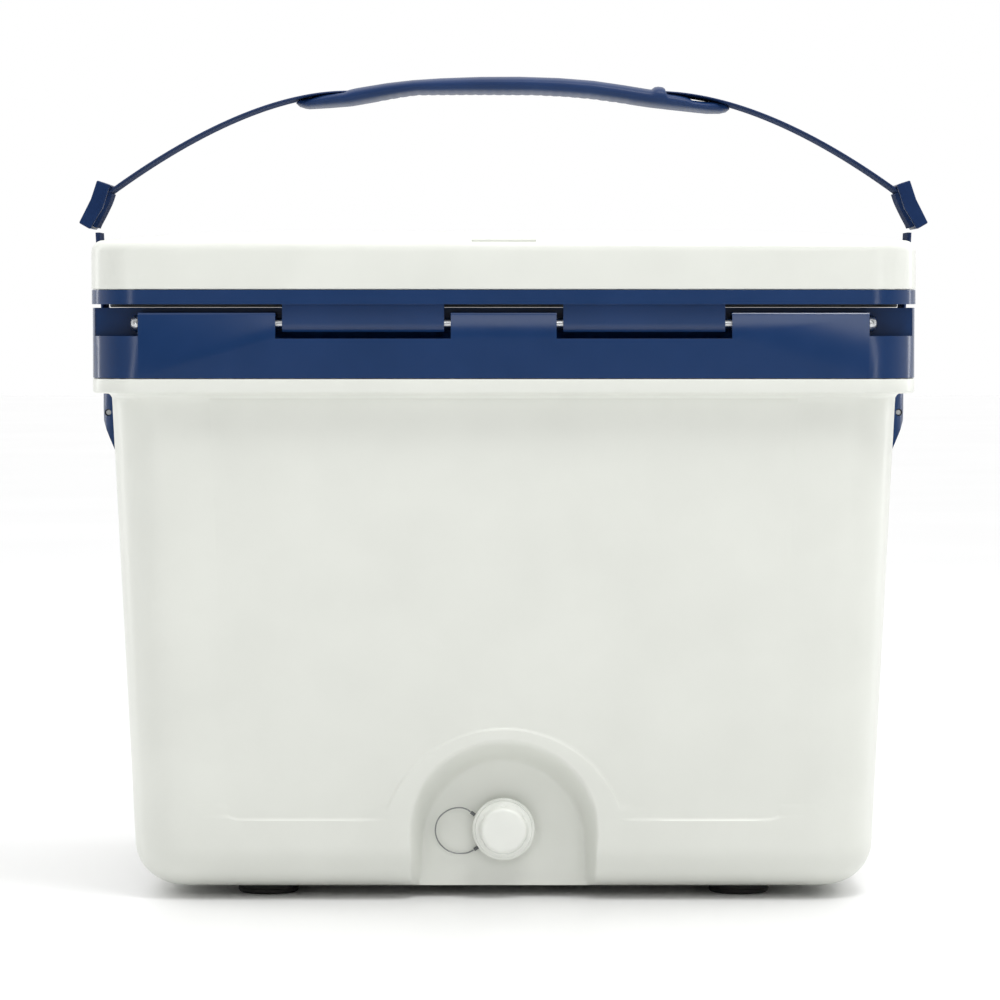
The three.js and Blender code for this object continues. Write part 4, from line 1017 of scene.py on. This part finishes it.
def six_flats(angle, _, radius):
    """The hexagon's radius outside the nut's bore, and the bore's own inside it."""
    return np.where(radius > 12 * MM, radius * hexagon(angle), radius + 0 * angle)


profile = [(11 * MM, near), (13.5 * MM, near), (14 * MM, near + 0.5 * MM), (14 * MM, far - 0.3 * MM),
           (13.8 * MM, far), (11 * MM, far)]
finish(turned("hexagon_drain_nut", profile, drain_place, "-y", 96, six_flats, closed=True), "tub", DRAIN,
       "drain_plastic", "drain_nut")


def ring(name, node, body):
    """A rubber ring with a round-cornered section in the box of a CAD ring."""
    low, high = box(node)
    outer = (high[2] - low[2]) / 2
    near, far = flange_front - high[1], flange_front - low[1]
    inner = {"plug_oring": 5.75 * MM, "drain_washer": 11 * MM}[node]
    turn = np.linspace(0, 2 * math.pi, 24, endpoint=False)
    section = [((outer + inner) / 2 + (outer - inner) / 2 * np.sign(c) * abs(c) ** 0.5,
                (near + far) / 2 + (far - near) / 2 * np.sign(s) * abs(s) ** 0.5)
               for c, s in zip(np.cos(turn), np.sin(turn))]
    made = turned(name, section, drain_place, "-y", 64, closed=True)
    return finish(made, body, RUBBER, "black_rubber", node)


ring("plug_seal_ring", "plug_oring", "drain_plug")
ring("drain_rubber_washer", "drain_washer", "tub")

# %% [markdown]
# ## Webbing
# Webbing is a flat woven band with soft round edges. A bent plane with a Solidify modifier would have
# square edges, so a section 38 mm wide is carried along a path in x and z. A UV map in metres along and
# across it lets the weave follow every bend.


# %% Carrying a webbing section along a path
def webbing_piece(name, path, width, thickness, sag=0.0):
    """A band along (x, z) points, its section set off along the path's normal; sag curls its edges."""
    path = np.asarray(path, dtype=float)
    tangent = np.gradient(path, axis=0)
    tangent /= np.linalg.norm(tangent, axis=1)[:, None]
    normal = np.stack([-tangent[:, 1], tangent[:, 0]], axis=1)
    across = np.linspace(-1, 1, 15)
    half = thickness / 2 * (1 - np.abs(across) ** 10) ** 0.5
    y = np.concatenate([across, across[::-1][1:-1]]) * width / 2
    lift = np.concatenate([half, -half[::-1][1:-1]]) - sag * (np.abs(y) / (width / 2)) ** 2
    x = path[:, None, 0] + normal[:, None, 0] * lift[None]
    z = path[:, None, 1] + normal[:, None, 1] * lift[None]
    points = np.stack([x, np.broadcast_to(y, x.shape), z], axis=-1)
    made = grid_piece(name, points, smooth=60)
    columns = points.shape[1]
    loops = np.empty(len(made.data.loops), dtype=int)
    made.data.loops.foreach_get("vertex_index", loops)
    values = np.stack([lengths_along(path)[loops // columns], y[loops % columns]], axis=1)
    made.data.uv_layers.new(name="UVMap").data.foreach_set("uv", values.ravel())
    return made


def bezier(a, b, c, d, count):
    """Points of a cubic curve from a to d that leaves towards b and arrives from c."""
    t = np.linspace(0, 1, count)[:, None]
    a, b, c, d = (np.array(p, dtype=float) for p in (a, b, c, d))
    return (1 - t) ** 3 * a + 3 * (1 - t) ** 2 * t * b + 3 * (1 - t) * t ** 2 * c + t ** 3 * d


print("helpers for webbing are ready")

# %% [markdown]
# ## Shoulder webbing
# From each adjuster the webbing rises in a long arch to the pad. The arch is one cubic curve, which
# leaves the adjuster and arrives at the pad in the directions that its two middle points set.

# %% Shoulder webbing
WEBBING_WIDTH = 38 * MM
WEBBING_THICKNESS = 1.9 * MM
pad_low, _ = box("shoulder_pad")
ends = {"left": (box("upper_webbing_left")[1][0], 1 * MM),
        "right": (box("upper_webbing_right")[0][0], -1.6 * MM)}
for side, sign in (("left", -1), ("right", 1)):
    low, high = box(f"adjuster_{side}")
    inner = (low[0] if side == "right" else -high[0])
    start = np.array([sign * (inner + 1.5 * MM), low[2] + 24 * MM])
    end_x, rise = ends[side]
    end_z = pad_low[2] + (13.2 * MM if side == "left" else 12.6 * MM)
    path = bezier(start, (start[0] - sign * 45 * MM, start[1] + 32.5 * MM),
                  (end_x + sign * 47 * MM, end_z + rise), (end_x - sign * 5 * MM, end_z), 90)
    strap = webbing_piece(f"shoulder_webbing_{side}", path, WEBBING_WIDTH, WEBBING_THICKNESS, sag=0.3 * MM)
    finish(strap, "shoulder_strap", WEBBING, "webbing", f"upper_webbing_{side}")

# %% [markdown]
# ## Webbing inside the adjusters
# Inside each adjuster the webbing lies doubled, as it goes down behind one bar and comes back over the
# next.

# %% Webbing inside the adjusters
FOLD = 4.4 * MM
for side, sign in (("left", -1), ("right", 1)):
    low, high = box(f"adjuster_{side}")
    inner = low[0] if side == "right" else -high[0]
    places = [(1.6, 23.4), (3.2, 18.6), (5.2, 14.2), (7.8, 9.0), (10.4, 4.2), (11.4, 1.8)]
    path = [(sign * (inner + dx * MM), low[2] + dz * MM) for dx, dz in places]
    fold = webbing_piece(f"folded_webbing_{side}", smooth_path(path, 40), 34 * MM, FOLD)
    finish(fold, "shoulder_strap", WEBBING, "webbing")

# %% [markdown]
# ## Lower webbing
# A doubled band comes up from the anchor pin in each bracket, past the lid's side, to just below the
# adjuster.

# %% Lower webbing
DOUBLED_THICKNESS = 2.7 * MM
for side, sign in (("left", -1), ("right", 1)):
    low, high = box(f"lower_webbing_{side}")
    foot_x = sign * (min(abs(low[0]), abs(high[0])) + 1.5 * MM)
    head_x = sign * (max(abs(low[0]), abs(high[0])) - 1.6 * MM)
    path = bezier((foot_x, low[2] + 0.4 * MM), (foot_x, low[2] + 30 * MM), (foot_x + (head_x - foot_x) * 0.7,
                  high[2] - 40 * MM), (head_x - sign * 0.5 * MM, high[2] - 0.3 * MM), 70)
    doubled = webbing_piece(f"side_webbing_{side}", path, WEBBING_WIDTH, DOUBLED_THICKNESS)
    doubled.data.materials.append(WEBBING)
    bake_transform(doubled)
    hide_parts(f"lower_webbing_{side}")
    print(f"{doubled.name}: {round(float(lengths_along(path)[-1]), 3)} m, blended from tub to lid")

# %% [markdown]
# ## Shoulder pad
# The pad is a soft moulding: thick in the middle, with a thinner tongue that runs out under the webbing
# at each end, and a small bump at its right end. It isn't stuffed, so no cloth is needed: its top and
# bottom edges are curves over its length, and its section is a flattened oval whose width narrows to the
# tips.

# %% Pad
pad_zero = pad_low[2] - 78 * MM
TOP_EDGE = [
    (-132, 84.8), (-130.5, 86.2), (-128, 87), (-124, 87.3), (-120, 88.2), (-114, 89.7),
    (-104, 91.2), (-101, 91.6), (-99.6, 92.1), (-97, 93), (-93, 93.9), (-74, 97), (-58, 98.8),
    (-40, 100), (-15, 100.9), (10, 101), (35, 100.2), (57, 98.5), (75, 95.9), (93, 93),
    (94.6, 92.9), (95.4, 94.2), (97, 94.9), (101, 94.5), (102.4, 93.6), (103.2, 91.4),
    (104.2, 90.4), (112, 89.2), (117, 87.9), (120, 86), (128, 85.2), (134, 85.2), (139, 84.7),
    (142, 83.5), (144, 81.2),
]
LOW_EDGE = [
    (-132, 84.3), (-130, 82.4), (-125, 81), (-112, 81.8), (-97, 83), (-80, 86), (-66, 88.5),
    (-55, 90), (-20, 90.2), (20, 90), (40, 89), (57, 87.5), (75, 85), (95, 82), (115, 79.8),
    (130, 78.2), (138, 78.1), (142, 79), (144, 80.6),
]
top_edge, low_edge = np.array(TOP_EDGE) * MM, np.array(LOW_EDGE) * MM
pad_x = np.unique(np.concatenate([np.linspace(-132, 144, 139), np.linspace(-102, -97, 14),
                                  np.linspace(101, 106, 14)])) * MM
pad_top = pad_zero + np.interp(pad_x, top_edge[:, 0], top_edge[:, 1])
pad_bottom = pad_zero + np.interp(pad_x, low_edge[:, 0], low_edge[:, 1])
middle_x = (pad_x[0] + pad_x[-1]) / 2
reach = np.abs(pad_x - middle_x) / ((pad_x[-1] - pad_x[0]) / 2)
half_width = 26 * MM * (1 - 0.16 * reach ** 2) * np.clip(1 - reach ** 14, 0.02, 1) ** 0.4
turn = np.linspace(0, 2 * math.pi, 56, endpoint=False)[None, :]


def squared(value, power):
    """A sine or cosine pushed towards a square wave, so that a round becomes a flattened oval."""
    return np.sign(value) * np.abs(value) ** power


y = half_width[:, None] * squared(np.cos(turn), 0.55)
centre_z, half_z = (pad_top + pad_bottom)[:, None] / 2, (pad_top - pad_bottom)[:, None] / 2
z = centre_z + half_z * squared(np.sin(turn), 0.8)
along = pad_x[:, None]
ribs = 0.35 * MM * (0.5 + 0.5 * np.cos(2 * math.pi * along / (6 * MM)))
under_side = smoothstep(-np.sin(turn), 0.5, 0.9) * smoothstep(0.085 - np.abs(along), 0, 0.01)
z = z + ribs * under_side
pad_points = np.stack([np.broadcast_to(along, y.shape), y, z], axis=-1)
pad = grid_piece("soft_shoulder_pad", pad_points, smooth=60)
finish(pad, "shoulder_strap", PAD, "pad_rubber", "shoulder_pad")

# %% [markdown]
# ## What stays from the frame
# The foam in the tub and lid is closed in, and its solid is its true shape, so it only gets its finish.

# %% Finishes for the nodes that stay
STAY = {"tub_foam": FOAM, "lid_foam": FOAM}
for node, material in STAY.items():
    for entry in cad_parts[node].material_slots:
        entry.material = material
    print(node, "is finished as", material.name)
